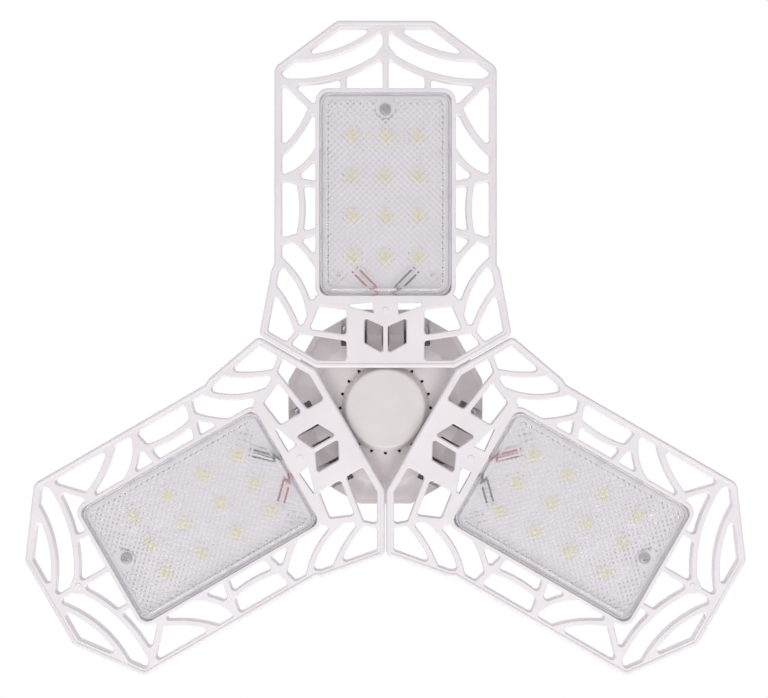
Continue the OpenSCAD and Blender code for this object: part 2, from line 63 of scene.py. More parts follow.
def addNode(tree, kind, values=None, links=None, **settings):
    # values are numbers for sockets, links are the sockets that feed them, settings are the node's own properties
    node = tree.nodes.new("ShaderNode" + kind)
    for name, value in settings.items():
        setattr(node, name, value)
    for socket, value in (values or {}).items():
        node.inputs[socket].default_value = value
    for socket, source in (links or {}).items():
        tree.links.new(source, node.inputs[socket])
    return node


def startMaterial(name):
    # an empty node tree with an output and the object's own coordinates
    material = bpy.data.materials.new(name)
    material.use_nodes = True
    tree = material.node_tree
    tree.nodes.clear()
    output = addNode(tree, "OutputMaterial")
    place = addNode(tree, "TexCoord").outputs["Object"]
    return material, tree, output, place


def ramp(tree, source, stops):
    # a colour ramp with (position, hex) stops
    node = addNode(tree, "ValToRGB", links={"Fac": source})
    elements = node.color_ramp.elements
    while len(elements) < len(stops):
        elements.new(1.0)
    for element, (position, hexText) in zip(elements, stops):
        element.position = position
        element.color = colour(hexText)
    return node.outputs["Color"]


def noise(tree, place, sizeMm, detail, roughness=0.5):
    # cloudy noise whose features are about sizeMm across
    return addNode(tree, "TexNoise", {"Scale": 1 / (sizeMm * millimetre), "Detail": detail,
                   "Roughness": roughness}, {"Vector": place}).outputs["Fac"]


def spread(tree, source, middle, below, above):
    # the usual range of a noise, laid out around a middle value
    return addNode(tree, "MapRange", {"From Min": 0.3, "From Max": 0.7, "To Min": middle - below,
                   "To Max": middle + above}, {"Value": source}).outputs["Result"]


def bumped(tree, source, strength, depthMm):
    return addNode(tree, "Bump", {"Strength": strength, "Distance": depthMm * millimetre},
                   {"Height": source}).outputs["Normal"]


def anyOf(tree, first, *others):
    # one where any of the light path's answers is one
    for other in others:
        first = addNode(tree, "Math", links={0: first, 1: other}, operation="MAXIMUM").outputs[0]
    return first


def moulded(name, tone, shade, driftMm, grainMm, roughness, bump, ior=1.53):
    # Moulded plastic: a slow drift of tone, a fine eroded texture in the gloss and the surface, and a soft shine.
    material, tree, output, place = startMaterial(name)
    grain = noise(tree, place, grainMm, 4.0, 0.6)
    shader = addNode(tree, "BsdfPrincipled", {"IOR": ior}, {
        "Base Color": ramp(tree, noise(tree, place, driftMm, 3.0), [(0.3, shade), (0.7, tone)]),
        "Roughness": spread(tree, grain, roughness, 0.06, 0.06), "Normal": bumped(tree, grain, bump, 0.05)})
    tree.links.new(shader.outputs["BSDF"], output.inputs["Surface"])
    return material


def plated(name, tone, shade, blotchMm, rubMm, roughness, rubStretch=(1, 1, 1)):
    # Plated metal: a mirror-like coat dulled in soft blotches, with fine rub marks that rubStretch draws out.
    material, tree, output, place = startMaterial(name)
    stretched = addNode(tree, "Mapping", {"Scale": rubStretch}, {"Vector": place}).outputs["Vector"]
    rub = noise(tree, stretched, rubMm, 2.0)
    shader = addNode(tree, "BsdfPrincipled", {"Metallic": 1.0}, {
        "Base Color": ramp(tree, noise(tree, place, blotchMm, 4.0), [(0.35, shade), (0.65, tone)]),
        "Roughness": spread(tree, rub, roughness, 0.08, 0.1), "Normal": bumped(tree, rub, 0.25, 0.02)})
    tree.links.new(shader.outputs["BSDF"], output.inputs["Surface"])
    return material


def clearPlastic(name, tint, passing, clear, hazeMm, roughness):
    # Clear moulded plastic with a faint tint and slow drifts of haze in its gloss. Light on its way to what lies
    # behind goes straight through, as it nearly does in a thin clear wall.
    material, tree, output, place = startMaterial(name)
    shader = addNode(tree, "BsdfPrincipled", {"Base Color": colour(tint), "IOR": 1.49,
                     "Transmission Weight": clear},
                     {"Roughness": spread(tree, noise(tree, place, hazeMm, 3.0), roughness, 0.03, 0.04)})
    through = addNode(tree, "BsdfTransparent", {"Color": colour(passing)})
    path = addNode(tree, "LightPath").outputs
    mixed = addNode(tree, "MixShader", links={0: anyOf(tree, path["Is Shadow Ray"], path["Is Diffuse Ray"]),
                    1: shader.outputs["BSDF"], 2: through.outputs["BSDF"]})
    tree.links.new(mixed.outputs[0], output.inputs["Surface"])
    return material


def weld(points, faces, tolerance=0.0005):
    # points closer than the tolerance become one, and faces that lose all but two corners go
    keys = np.round(points / tolerance).astype(np.int64)
    _, first, back = np.unique(keys, axis=0, return_index=True, return_inverse=True)
    back = back.ravel()
    kept = []
    for face in faces:
        corners = [back[i] for i in face]
        corners = [c for i, c in enumerate(corners) if c != corners[i - 1]]
        if len(corners) > 2:
            kept.append(corners)
    return points[first], kept


def joined(parts):
    # (points, faces) pairs into one pair
    points, faces, start = [], [], 0
    for partPoints, partFaces in parts:
        partPoints, partFaces = weld(partPoints, partFaces)
        points.append(partPoints)
        faces += [[i + start for i in face] for face in partFaces]
        start += len(partPoints)
    return np.vstack(points), faces


def rawPiece(name, parts):
    # one object from (points, faces) pairs in millimetres, with its faces turned outwards
    points, faces = joined(parts)
    mesh = bpy.data.meshes.new(name)
    mesh.from_pydata((points * millimetre).tolist(), [], faces)
    work = bmesh.new()
    work.from_mesh(mesh)
    bmesh.ops.recalc_face_normals(work, faces=work.faces)
    work.to_mesh(mesh)
    work.free()
    piece = bpy.data.objects.new(name, mesh)
    bpy.context.scene.collection.objects.link(piece)
    return piece


def smooth(mesh, sharpDegrees=32):
    mesh.shade_smooth()
    mesh.set_sharp_from_angle(angle=radians(sharpDegrees))


def makePiece(name, parts, material, body, slot, replaces=(), sharpDegrees=32, levelFlats=False):
    # A dressed object with smooth shading up to an angle. levelFlats shades the faces square to Z flat, so that long
    # thin triangles don't show. body is None where the piece is attached to no body, as the leads that cross the hinges
    # are.
    piece = rawPiece(name, parts)
    mesh = piece.data
    smooth(mesh, sharpDegrees)
    if levelFlats:
        normals = np.empty(len(mesh.polygons) * 3)
        mesh.polygons.foreach_get("normal", normals)
        mesh.polygons.foreach_set("use_smooth", np.abs(normals[2::3]) < 0.99999)
    mesh.materials.append(material)
    if body:
        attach(piece, body)
    if replaces:
        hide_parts(*replaces)
    return piece


def makeOnPanels(name, parts, material, slot, node="", body="", **shading):
    # the same piece for each of the three panels; it rides its own panel unless another body is named
    for panel, degrees in panels.items():
        makePiece(name + panel, turnedParts(parts, degrees), material, body or "panel_" + panel, slot,
                  [node + panel] if node else (), **shading)


def repaint(node, material):
    # the material of a CAD piece that keeps its own shape
    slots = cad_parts[node].data.materials
    slots.clear()
    slots.append(material)


def turned(points, degrees):
    # points turned about the lamp's axis
    c, s = cos(radians(degrees)), sin(radians(degrees))
    return points @ np.array([[c, s, 0], [-s, c, 0], [0, 0, 1]])


def turnedParts(parts, degrees):
    return [(turned(points, degrees), faces) for points, faces in parts]


def moved(parts, x=0.0, y=0.0):
    return [(points + [x, y, 0], faces) for points, faces in parts]


def mirrored(parts):
    # the other side of a panel; the faces are turned outwards in rawPiece
    return [(points * [-1, 1, 1], faces) for points, faces in parts]


def bothSides(part):
    return [part] + mirrored([part])


def quadsBetween(rings):
    # quads between closed rings, given as rows of point numbers
    following = np.roll(rings, -1, axis=1)
    return np.stack([rings[:-1], following[:-1], following[1:], rings[1:]], axis=-1).reshape(-1, 4).tolist()


def ringFaces(rings, count, capped=True):
    # quads between closed rings of count points, with a flat face over each end
    index = np.arange(rings * count).reshape(rings, count)
    return quadsBetween(index) + ([index[0][::-1].tolist(), index[-1].tolist()] if capped else [])


def loopFaces(rings, count):
    # quads between rings of which the last meets the first again, as on a torus
    index = np.arange(rings * count).reshape(rings, count)
    return quadsBetween(np.vstack([index, index[:1]]))


def carried(path, ways, profile):
    # rings of a path, moved along its ways by the reach of each (reach, height) point of a profile
    return [np.column_stack([path + ways * reach, np.full(len(path), z)]) for reach, z in profile]


def swept(path, ways, profile):
    # the same rings as a closed shape
    return np.vstack(carried(path, ways, profile)), ringFaces(len(profile), len(path))


def softProfile(corners, radii, steps=4, support=0.25):
    # A bent line with round corners: each inner corner becomes an arc that touches both of its sides, and a point
    # a little way along each side keeps the shading of the flats flat.
    corners = [np.array(c, float) for c in corners]
    path = [corners[0]]
    for before, here, after, radius in zip(corners, corners[1:], corners[2:], radii[1:]):
        a, b = before - here, after - here
        la, lb = np.linalg.norm(a), np.linalg.norm(b)
        a, b = a / la, b / lb
        opening = acos(max(-1.0, min(1.0, float(a @ b))))
        if radius <= 0 or opening > pi - 0.02:
            path.append(here)
            continue
        reach = min(radius / tan(opening / 2), 0.45 * la, 0.45 * lb)
        radius = reach * tan(opening / 2)
        middle = here + (a + b) / np.linalg.norm(a + b) * radius / sin(opening / 2)
        first, last = here + a * reach - middle, here + b * reach - middle
        sweep = pi - opening
        path.append(here + a * min(reach + support, 0.49 * la))
        for k in range(steps + 1):
            t = k / steps
            path.append(middle + (first * sin((1 - t) * sweep) + last * sin(t * sweep)) / sin(sweep))
        path.append(here + b * min(reach + support, 0.49 * lb))
    path.append(corners[-1])
    return np.array(path)


def roundRect(width, length, radius, steps=6):
    # outline of a rectangle with quarter circles at its corners, and its outward normals
    quarter = np.linspace(0, pi / 2, steps + 1)
    points, normals = [], []
    for turn, (sx, sy) in enumerate([(1, 1), (-1, 1), (-1, -1), (1, -1)]):
        angle = quarter + turn * pi / 2
        normal = np.stack([np.cos(angle), np.sin(angle)], axis=-1)
        centre = np.array([sx * (width / 2 - radius), sy * (length / 2 - radius)])
        points.append(centre + radius * normal)
        normals.append(normal)
    return np.vstack(points), np.vstack(normals)


def softSlab(width, length, corner, low, high, lowEdge=0.0, highEdge=0.3, steps=6):
    # a plate with a rounded outline and rounded edges at its low and high faces
    path, normals = roundRect(width, length, corner, steps)
    profile = softProfile([(-corner * 0.6, low), (0, low), (0, high), (-corner * 0.6, high)],
                          [0, lowEdge, highEdge, 0], steps=3, support=0.15)
    return swept(path, normals, profile)


def lathe(profile, steps=96, flutes=0.0):
    # The profile of (radius, height) points turned about the lamp's axis. flutes is added to the radius at each
    # profile point and angle, as an array of shape (profile points, steps).
    angle = np.arange(steps) * 2 * pi / steps
    profile = np.asarray(profile, float)
    radius = profile[:, :1] + flutes + np.zeros(steps)
    grid = np.stack([radius * np.cos(angle), radius * np.sin(angle), profile[:, 1:] * np.ones((1, steps))], axis=-1)
    return grid.reshape(-1, 3), ringFaces(len(profile), steps)


def tube(route, radius, sides=16, perSpan=10):
    # A round section carried along a smooth curve (Catmull-Rom) through the route. The section is square to the curve,
    # and its first direction is square to the panel's X axis too, which the routes here never run along.
    route = np.asarray(route, float)
    padded = np.vstack([2 * route[0] - route[1], route, 2 * route[-1] - route[-2]])
    t = (np.arange(perSpan) / perSpan)[None, :, None]
    a, b, c, d = (padded[i:len(padded) - 3 + i, None, :] for i in range(4))
    curve = 0.5 * (2 * b + (c - a) * t + (2 * a - 5 * b + 4 * c - d) * t ** 2 + (3 * b - a - 3 * c + d) * t ** 3)
    curve = np.vstack([curve.reshape(-1, 3), route[-1]])
    along = np.gradient(curve, axis=0)
    along /= np.linalg.norm(along, axis=1, keepdims=True)
    up = np.cross(along, [1, 0, 0])
    up /= np.linalg.norm(up, axis=1, keepdims=True)
    across = np.cross(up, along)
    angle = np.arange(sides) * 2 * pi / sides
    rings = (curve[:, None] + radius * (np.cos(angle)[None, :, None] * across[:, None]
             + np.sin(angle)[None, :, None] * up[:, None]))
    return rings.reshape(-1, 3), ringFaces(len(curve), sides)


def cut(piece, cutters):
    # takes the cutters out of a closed piece, with exact booleans, and keeps the result as its mesh; the cut is made
    # in millimetres, where nothing is small enough to be rounded away
    piece.data.transform(Matrix.Scale(1 / millimetre, 4))
    for cutter in cutters:
        cutter.data.transform(Matrix.Scale(1 / millimetre, 4))
        change = piece.modifiers.new("cut", "BOOLEAN")
        change.operation = "DIFFERENCE"
        change.solver = "EXACT"
        change.object = cutter
    bpy.context.view_layer.update()
    result = bpy.data.meshes.new_from_object(piece.evaluated_get(bpy.context.evaluated_depsgraph_get()))
    result.transform(Matrix.Scale(millimetre, 4))
    piece.modifiers.clear()
    old = piece.data
    piece.data = result
    bpy.data.meshes.remove(old)
    for cutter in cutters:
        bpy.data.objects.remove(cutter)
    smooth(result)


print("stage: materials")

# Satin white with a slightly cool tone: it gives the web its clean, soft look and its thin grey edges.
panelPlastic = moulded("ABS_moulded_satin_white", "#EDE8EB", "#E7E2E5", driftMm=14, grainMm=0.45, roughness=0.42,
                       bump=0.25)
# Duller and warmer than the panels; its tone, darker than their white, is painted shade, so the hub stays behind them.
hubPlastic = moulded("Polycarbonate_moulded_warm_white_painted_shade", "#DED8D8", "#D7D0D1", driftMm=18, grainMm=0.5, roughness=0.48,
                     bump=0.25)
# A little glossier than the hub: the disc stands out from the face by its even sheen. Its tone, darker than the panels'
# white, is painted shade.
capPlastic = moulded("Polycarbonate_moulded_cap_white_painted_shade", "#DFDAD9", "#D9D4D3", driftMm=12, grainMm=0.5, roughness=0.45,
                     bump=0.25)
# Hard glossy black between the tip and the thread.
blackInsulator = moulded("Phenolic_moulded_black", "#1C1B1C", "#131213", driftMm=5, grainMm=0.3, roughness=0.25,
                         bump=0.3)
# Soft dull red: the one strong colour, seen through the prisms and at the hinges.
redSilicone = moulded("Silicone_extruded_red", "#B41E1C", "#A01816", driftMm=3, grainMm=0.25, roughness=0.5, bump=0.3,
                      ior=1.42)
# Soft dull black, the dark partner of the red lead.
blackSilicone = moulded("Silicone_extruded_black", "#1E1D1F", "#161517", driftMm=3, grainMm=0.25, roughness=0.5,
                        bump=0.3, ior=1.42)
# Bright neutral white under the lens, with a weak varnish shine.
solderMask = moulded("Solder_mask_white_on_aluminium", "#F0EFEE", "#E9E8E8", driftMm=9, grainMm=0.35, roughness=0.35,
                     bump=0.2)
# Creamy white frame around each chip.
chipPlastic = moulded("Polyphthalamide_moulded_white", "#F1EFE6", "#E9E6DA", driftMm=4, grainMm=0.2, roughness=0.4,
                      bump=0.2)
# Pale yellow of an unlit chip: the soft yellow dots behind the prisms.
phosphor = moulded("Silicone_cast_phosphor_yellow", "#F1EBA6", "#E9E092", driftMm=2, grainMm=0.2, roughness=0.3,
                   bump=0.25, ior=1.41)
# Green board edge, seen only when the hub is opened.
laminate = moulded("Glass_epoxy_laminate_green", "#2F6A46", "#27593B", driftMm=4, grainMm=0.3, roughness=0.35, bump=0.2)
# Black sleeve with a tight shine on the parts of the driver.
sleeve = moulded("PVC_shrunk_sleeve_black", "#232326", "#19191B", driftMm=4, grainMm=0.25, roughness=0.3, bump=0.2)
# Warm bright metal of the thread, rubbed along its axis by the socket.
nickel = plated("Nickel_plated_brass", "#C9C4BA", "#B4AEA2", blotchMm=6, rubMm=0.3, roughness=0.27,
                rubStretch=(1, 1, 0.1))
# Cool grey metal of all screws and nuts: small dark glints at the hinges and a ring in each tray.
zinc = plated("Zinc_plated_steel", "#A9ABAF", "#8C8E93", blotchMm=1.5, rubMm=0.2, roughness=0.3)
# Pale soft metal of the contact tip.
solder = plated("Tin_solder", "#CDCDCB", "#B3B3B1", blotchMm=1.5, rubMm=0.4, roughness=0.35)
# Brown red glints of the choke's winding.
copper = plated("Copper_enamelled_wire", "#B4683A", "#8E4B26", blotchMm=2, rubMm=0.5, roughness=0.3)
# Clear with a faint cold tint: the prisms break what lies behind into a fine diamond pattern.
acrylic = clearPlastic("Acrylic_moulded_prismatic", "#FBFAFC", "#F2F1F3", clear=0.88, hazeMm=3, roughness=0.12)


print("stage: panel frames")

panelFrame = {
    "frontZ": -75.0,            # front of the web
    "backZ": -71.0,             # back of the web
    "frontRound": 0.8,          # width of its rounded front edges
    "frontDome": 2.4,           # depth of those edges, as a multiple of their width
    "windowRound": 0.35,        # radius of the front edge around the lens
    "backRound": 0.35,          # radius of its back edges
    "lipAt": 1.25,              # how far inside the outer edge the middle of the raised lip runs
    "lipWidth": 1.8,
    "lipHeight": 0.3,
    # section of the lip, as shares of its width and height; heights below zero stand out
    "lipSection": [(-0.5, 1.7), (-0.42, -0.3), (-0.3, -0.75), (-0.1, -0.98), (0.15, -0.98), (0.33, -0.8), (0.44, -0.4),
                   (0.5, 0.3)],
    "trayWidth": 63.4,
    "trayLength": 95.5,
    "trayMid": 96.85,           # distance of the tray's middle from the lamp's axis
    "trayCorner": 6.0,
    "trayBack": -67.0,
    "trayRound": 1.2,
    "trayFloor": -69.0,
    "floorRound": 0.4,
    "windowWidth": 59.2,
    "windowLength": 91.3,
    "windowCorner": 3.8,
    "finCount": 7,
    "finStep": 7.5,
    "finWidth": 1.8,
    "finCorner": 0.85,
    "finEdge": 0.5,
    "finLength": 64.0,
    "finHeight": 2.0,
    "finAhead": 4.0,            # how far the fins' middle is beyond the tray's
    "marks": [(0, 44.4), (0, 159.6)],   # round ejector marks
    "markRadius": 1.5,
    "markRise": 0.28,
}
# the hinge's axis runs along X, at a distance r from the lamp's axis; "In" and "Out" are distances along it
hinge = {"r": 35.0, "z": -58.5, "earIn": 15.1, "earOut": 17.6, "earRound": 5.0, "earLean": 0.5,
         "lugIn": 11.6, "lugOut": 15.0, "lugRound": 4.6, "lugLean": 0.6, "screwRound": 1.5, "headThick": 2.0,
         "headRound": 2.8, "shankLong": 8.4, "slotHalf": 0.4, "slotLong": 1.6, "slotDeep": 0.7,
         "nutThick": 2.4, "nutFlat": 2.75}


def flatLoops(node, height, shortest=0.06, leastTurn=0.003, grid=0.002, flatness=0.005):
    # outlines of what lies flat at a height in a CAD node, in mm, each with the material on one side
    mesh = node.data
    mesh.calc_loop_triangles()
    points = np.empty(len(mesh.vertices) * 3)
    mesh.vertices.foreach_get("co", points)
    points = points.reshape(-1, 3) / millimetre
    corners = np.empty(len(mesh.loop_triangles) * 3, np.int64)
    mesh.loop_triangles.foreach_get("vertices", corners)
    _, first, back = np.unique(np.round(points / grid).astype(np.int64), axis=0, return_index=True,
                               return_inverse=True)
    points, triangles = points[first], back.ravel()[corners].reshape(-1, 3)
    flat = np.all(np.abs(points[triangles][:, :, 2] - height) < flatness, axis=1)
    triangles = triangles[flat]
    edges = np.vstack([triangles[:, [0, 1]], triangles[:, [1, 2]], triangles[:, [2, 0]]])
    known = set(map(tuple, edges.tolist()))
    following = {a: b for a, b in known if (b, a) not in known}
    loose = set(following) - set(following.values())
    # a sliver can hide an edge, so its two loose ends are joined
    for end in sorted(set(following.values()) - set(following)):
        following[end] = min(loose, key=lambda other: np.linalg.norm(points[other] - points[end]))
    loops = []
    while following:
        start, step = following.popitem()
        loop = [start]
        while step != start:
            loop.append(step)
            step = following.pop(step)
        outline = points[loop][:, :2]
        outline = outline[np.linalg.norm(outline - np.roll(outline, 1, axis=0), axis=1) > shortest]
        loops.append(outline[turnAt(outline) > leastTurn])
    return loops


def turnAt(outline):
    # how sharply an outline turns at each point, as the sine of the angle
    come, go = outline - np.roll(outline, 1, axis=0), np.roll(outline, -1, axis=0) - outline
    area = come[:, 0] * go[:, 1] - come[:, 1] * go[:, 0]
    return np.abs(area) / (np.linalg.norm(come, axis=1) * np.linalg.norm(go, axis=1))


def insetOf(loop, reach):
    # the way in from each point of an outline, scaled so that both of its edges move in by one; neighbours that would
    # pass each other on the way to the reach meet halfway instead
    edge = np.roll(loop, -1, axis=0) - loop
    edge /= np.linalg.norm(edge, axis=1, keepdims=True)
    inward = np.column_stack([edge[:, 1], -edge[:, 0]])
    before = np.roll(inward, 1, axis=0)
    way = (inward + before) / np.maximum(1 + np.sum(inward * before, axis=1, keepdims=True), 0.35)
    for _ in range(6):
        place = loop + way * reach
        crossed = np.flatnonzero(np.sum((np.roll(place, -1, axis=0) - place) * edge, axis=1) < 0)
        for i in crossed:
            j = (i + 1) % len(loop)
            middle = (loop[i] + way[i] * reach + loop[j] + way[j] * reach) / 2
            way[i], way[j] = (middle - loop[i]) / reach, (middle - loop[j]) / reach
    return way


def insideOf(outline, places):
    # whether each place lies inside an outline, from how many of its edges a ray along X crosses
    x, y = outline[:, 0], outline[:, 1]
    nx, ny = np.roll(x, -1), np.roll(y, -1)
    px, py = places[:, :1], places[:, 1:]
    spans = (y[None] > py) != (ny[None] > py)
    across = x[None] + (py - y[None]) / np.where(ny == y, 1, ny - y)[None] * (nx - x)[None]
    return np.sum(spans & (px < across), axis=1) % 2 == 1


def webShell(loops, spec):
    # A flat web with rounded edges: every outline is carried along a rounded profile from the front to the back,
    # and the two flats between the outlines are filled with triangles. The second outline is the tray's window. It
    # and the small windows with straight sides have the narrower front edge.
    # The front edge is a quarter of an ellipse, deeper than wide: depth = dome * depth of the quarter circle.
    front, back, support, start = spec["frontZ"], spec["backZ"], 0.1, 0
    points, faces, frontRing, backRing = [], [], [], []
    for order, loop in enumerate(loops):
        radius = spec["windowRound"] if order == 1 or len(loop) < 8 else spec["frontRound"]
        profile = softProfile([(1.3, front), (0, front), (0, back), (1.0, back)], [0, radius, spec["backRound"], 0],
                              steps=5, support=support)
        rounded = profile[:, 1] < front + radius + 1.1 * support
        profile[rounded, 1] = front + (profile[rounded, 1] - front) * spec["frontDome"]
        inset, count = insetOf(loop, radius + support), len(loop)
        rings = carried(loop, inset, profile[1:-1])
        points.append(np.vstack(rings))
        faces += [[i + start for i in face] for face in ringFaces(len(rings), count, False)]
        frontRing.append(np.arange(count) + start)
        backRing.append(np.arange(count) + start + count * (len(rings) - 1))
        start += count * len(rings)
    points = np.vstack(points)
    for rings in (frontRing, backRing):
        index = np.concatenate(rings)
        flat = [Vector(p) for p in points[index][:, :2].tolist()]
        edges, at = [], 0
        for ring in rings:
            edges += [(at + i, at + (i + 1) % len(ring)) for i in range(len(ring))]
            at += len(ring)
        made = delaunay_2d_cdt(flat, edges, [], 0, 1e-6, True)
        source = np.array([group[0] for group in made[3]])
        triangles = index[source[np.array(made[2])]]
        middles = points[triangles][:, :, :2].mean(axis=1)
        inside = sum(insideOf(points[ring][:, :2], middles).astype(int) for ring in rings)
        faces += triangles[inside == 1].tolist()
    return points, faces


def lipRing(loop, spec):
    # a low raised lip carried along an outline, a little way in from it
    section = [(spec["lipAt"] + across * spec["lipWidth"], spec["frontZ"] + rise * spec["lipHeight"])
               for across, rise in spec["lipSection"]]
    return np.vstack(carried(loop, insetOf(loop, spec["lipAt"]), section)), loopFaces(len(section), len(loop))


def trayShell(spec):
    # The cup behind the web: up the outside, over a soft edge to the back, and down the inside to the floor.
    outer, outerNormals = roundRect(spec["trayWidth"], spec["trayLength"], spec["trayCorner"], 8)
    inner, innerNormals = roundRect(spec["windowWidth"], spec["windowLength"], spec["windowCorner"], 8)
    back, floor, top = spec["trayBack"], spec["trayFloor"], spec["backZ"]
    outside = softProfile([(0, top), (0, back), (-5, back)], [0, spec["trayRound"], 0], steps=5)
    inside = softProfile([(0, top), (0, floor), (-3, floor)], [0, spec["floorRound"], 0], steps=3)
    rings = carried(inner, innerNormals, inside[::-1]) + carried(outer, outerNormals, outside)
    return moved([(np.vstack(rings), ringFaces(len(rings), len(outer)))], y=spec["trayMid"])[0]


def hingePlate(low, high, roundR, footHalf, footZ, holeR, edge=0.35, count=64):
    # A plate across X with a round end about the hinge axis: the outline is a circle above the axis and leans out to
    # the foot, and a bore runs through it.
    share = np.arange(count) / count
    angle = share * 2 * pi
    depth = footZ - hinge["z"]
    down = copysign(1.0, depth)
    across, rise = np.cos(angle), np.sin(angle) * down
    foot = rise * down > 0.0
    slope = (footHalf - roundR) / abs(depth)
    reach = roundR / np.maximum(np.abs(across) - slope * np.abs(rise), 1e-3)
    reach = np.where(foot, np.minimum(reach, abs(depth) / np.maximum(np.abs(rise), 1e-3)), roundR)
    outline = np.column_stack([across * reach, rise * reach])
    circle = np.column_stack([across, rise])
    shrink = outline * (1 - edge / np.linalg.norm(outline, axis=1, keepdims=True))
    steps = [(circle * holeR, low + edge * 0.6), (circle * (holeR + edge * 0.6), low), (shrink, low),
             (outline, low + edge), (outline, high - edge), (shrink, high),
             (circle * (holeR + edge * 0.6), high), (circle * holeR, high - edge * 0.6)]
    rings = [np.column_stack([np.full(count, x), yz[:, 0] + hinge["r"], yz[:, 1] + hinge["z"]]) for yz, x in steps]
    return np.vstack(rings), loopFaces(len(rings), count)


def mark(x, y, spec):
    # a low round ejector mark on the front of the web
    radius, high = spec["markRadius"], spec["frontZ"] + 0.3
    low = spec["frontZ"] - spec["markRise"]
    path, normals = roundRect(2 * radius, 2 * radius, radius * 0.999)
    profile = softProfile([(-radius * 0.5, low), (0, low), (0, high), (-radius * 0.5, high)], [0, 0.2, 0.2, 0],
                          steps=2, support=0.05)
    return moved([swept(path, normals, profile)], x=x, y=y)[0]


def frameParts(spec):
    loops = flatLoops(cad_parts["panel_frame_a"], spec["frontZ"])
    loops.sort(key=lambda loop: -np.prod(np.ptp(loop, axis=0)))
    parts = [webShell(loops, spec), lipRing(loops[0], spec), trayShell(spec)]
    for i in range(spec["finCount"]):
        fin = softSlab(spec["finWidth"], spec["finLength"], spec["finCorner"], spec["trayBack"] - 0.5,
                       spec["trayBack"] + spec["finHeight"], 0, spec["finEdge"], 4)
        parts += moved([fin], x=(i - (spec["finCount"] - 1) / 2) * spec["finStep"],
                       y=spec["trayMid"] + spec["finAhead"])
    ear = hingePlate(hinge["earIn"], hinge["earOut"], hinge["earRound"], hinge["earRound"] + hinge["earLean"],
                     spec["backZ"] - 1, hinge["screwRound"] + 0.05)
    return parts + bothSides(ear) + [mark(x, y, spec) for x, y in spec["marks"]]


makeOnPanels("panelFrame_", frameParts(panelFrame), panelPlastic, "panel_plastic", "panel_frame_", levelFlats=True)


print("stage: lenses")

lensShape = {
    "width": 58.9,
    "length": 91.0,
    "backZ": -73.4,
    "shoulderZ": -75.0,
    "frontZ": -77.0,
    "slope": 2.7,
    "wall": 1.5,
    "sideWall": 1.2,
    "inset": 0.4,               # from the slope's foot to the edge of the ridges
    "gridCorner": 2.6,
    "pitch": 2.0,               # distance between two ridges
    "ridge": 0.9,               # height of the ridges
    "screwY": 135.5,
    "clearRound": 4.7,          # plain round window over the board screw
    "clearFade": 0.4,
    # how round the corners are from the ridges down the inside, round the rim and over to the front
    "edgeRounds": [0, 0.3, 0.3, 0.1, 0.15, 0.9, 1.8, 0],
}


def lensParts(spec):
    # The inner face is a grid of crossed ridges at 45 degrees:
    # height = ridge / 2 * (saw((x + y) / root 2) + saw((x - y) / root 2)), where saw falls and rises once each pitch.
    # Cells are a quarter pitch wide along the diagonals, so that all creases fall on cell diagonals. The outline of
    # the grid is then carried down the inside, round the rim and over the front.
    step = spec["pitch"] / (2 * sqrt(2))
    reach = spec["slope"] + spec["inset"]
    nx, ny = (2 * round((spec[side] - 2 * reach) / step / 2) for side in ("width", "length"))
    x = (np.arange(nx + 1) - nx / 2) * step
    y = (np.arange(ny + 1) - ny / 2) * step
    square = np.stack(np.meshgrid(x, y, indexing="ij"), axis=-1)
    straight = np.array([x[-1], y[-1]]) - spec["gridCorner"]

    def saw(value):
        return np.abs(2 * ((value / spec["pitch"]) % 1.0) - 1)

    def pastStraight(places):
        # how far places are past the straight part of the sides, along X and Y
        return np.sign(places) * np.maximum(np.abs(places) - straight, 0)

    height = saw(square.sum(axis=-1) / sqrt(2)) + saw((square[..., 0] - square[..., 1]) / sqrt(2))
    clear = np.linalg.norm(square + [0, panelFrame["trayMid"] - spec["screwY"]], axis=-1)
    height *= np.clip((clear - spec["clearRound"]) / spec["clearFade"], 0, 1)
    height[[0, -1], :] = 0
    height[:, [0, -1]] = 0
    # the square corners of the grid are drawn in to quarter circles
    over = pastStraight(square)
    length = np.linalg.norm(over, axis=-1, keepdims=True)
    pull = np.where(length > 0, np.abs(over).max(axis=-1, keepdims=True) / np.maximum(length, 1e-6), 1.0)
    place = np.clip(square, -straight, straight) + over * pull
    ceiling = spec["frontZ"] + spec["wall"]
    grid = np.dstack([place, ceiling - height * spec["ridge"] / 2]).reshape(-1, 3)
    index = np.arange((nx + 1) * (ny + 1)).reshape(nx + 1, ny + 1)
    a, b, c, d = index[:-1, :-1], index[1:, :-1], index[1:, 1:], index[:-1, 1:]
    odd = (np.add.outer(np.arange(nx), np.arange(ny)) + (nx + ny) // 2) % 2 == 1
    one = np.where(odd[..., None], np.stack([a, b, d], -1), np.stack([a, b, c], -1)).reshape(-1, 3)
    two = np.where(odd[..., None], np.stack([b, c, d], -1), np.stack([a, c, d], -1)).reshape(-1, 3)
    faces = one.tolist() + two.tolist()
    border = np.concatenate([index[:-1, 0], index[-1, :-1], index[:0:-1, -1], index[0, :0:-1]])
    rim = grid[border][:, :2]
    away = pastStraight(rim)
    away /= np.linalg.norm(away, axis=1, keepdims=True)
    outset, inner = spec["width"] / 2 - x[-1], spec["sideWall"]
    profile = softProfile([
        (0, ceiling), (0.9, ceiling), (outset - inner, spec["shoulderZ"] + 0.4), (outset - inner, spec["backZ"]),
        (outset, spec["backZ"]), (outset, spec["shoulderZ"]), (outset - spec["slope"], spec["frontZ"]),
        (outset - spec["slope"] - 2, spec["frontZ"])],
        spec["edgeRounds"], steps=5, support=0.2)
    rings = carried(rim, away, profile[1:])
    start = len(grid)
    points = np.vstack([grid] + rings)
    ringIndex = np.vstack([border[None], start + np.arange(len(rings) * len(rim)).reshape(len(rings), len(rim))])
    faces += quadsBetween(ringIndex)
    faces.append(ringIndex[-1].tolist())
    return moved([(points, faces)], y=panelFrame["trayMid"])


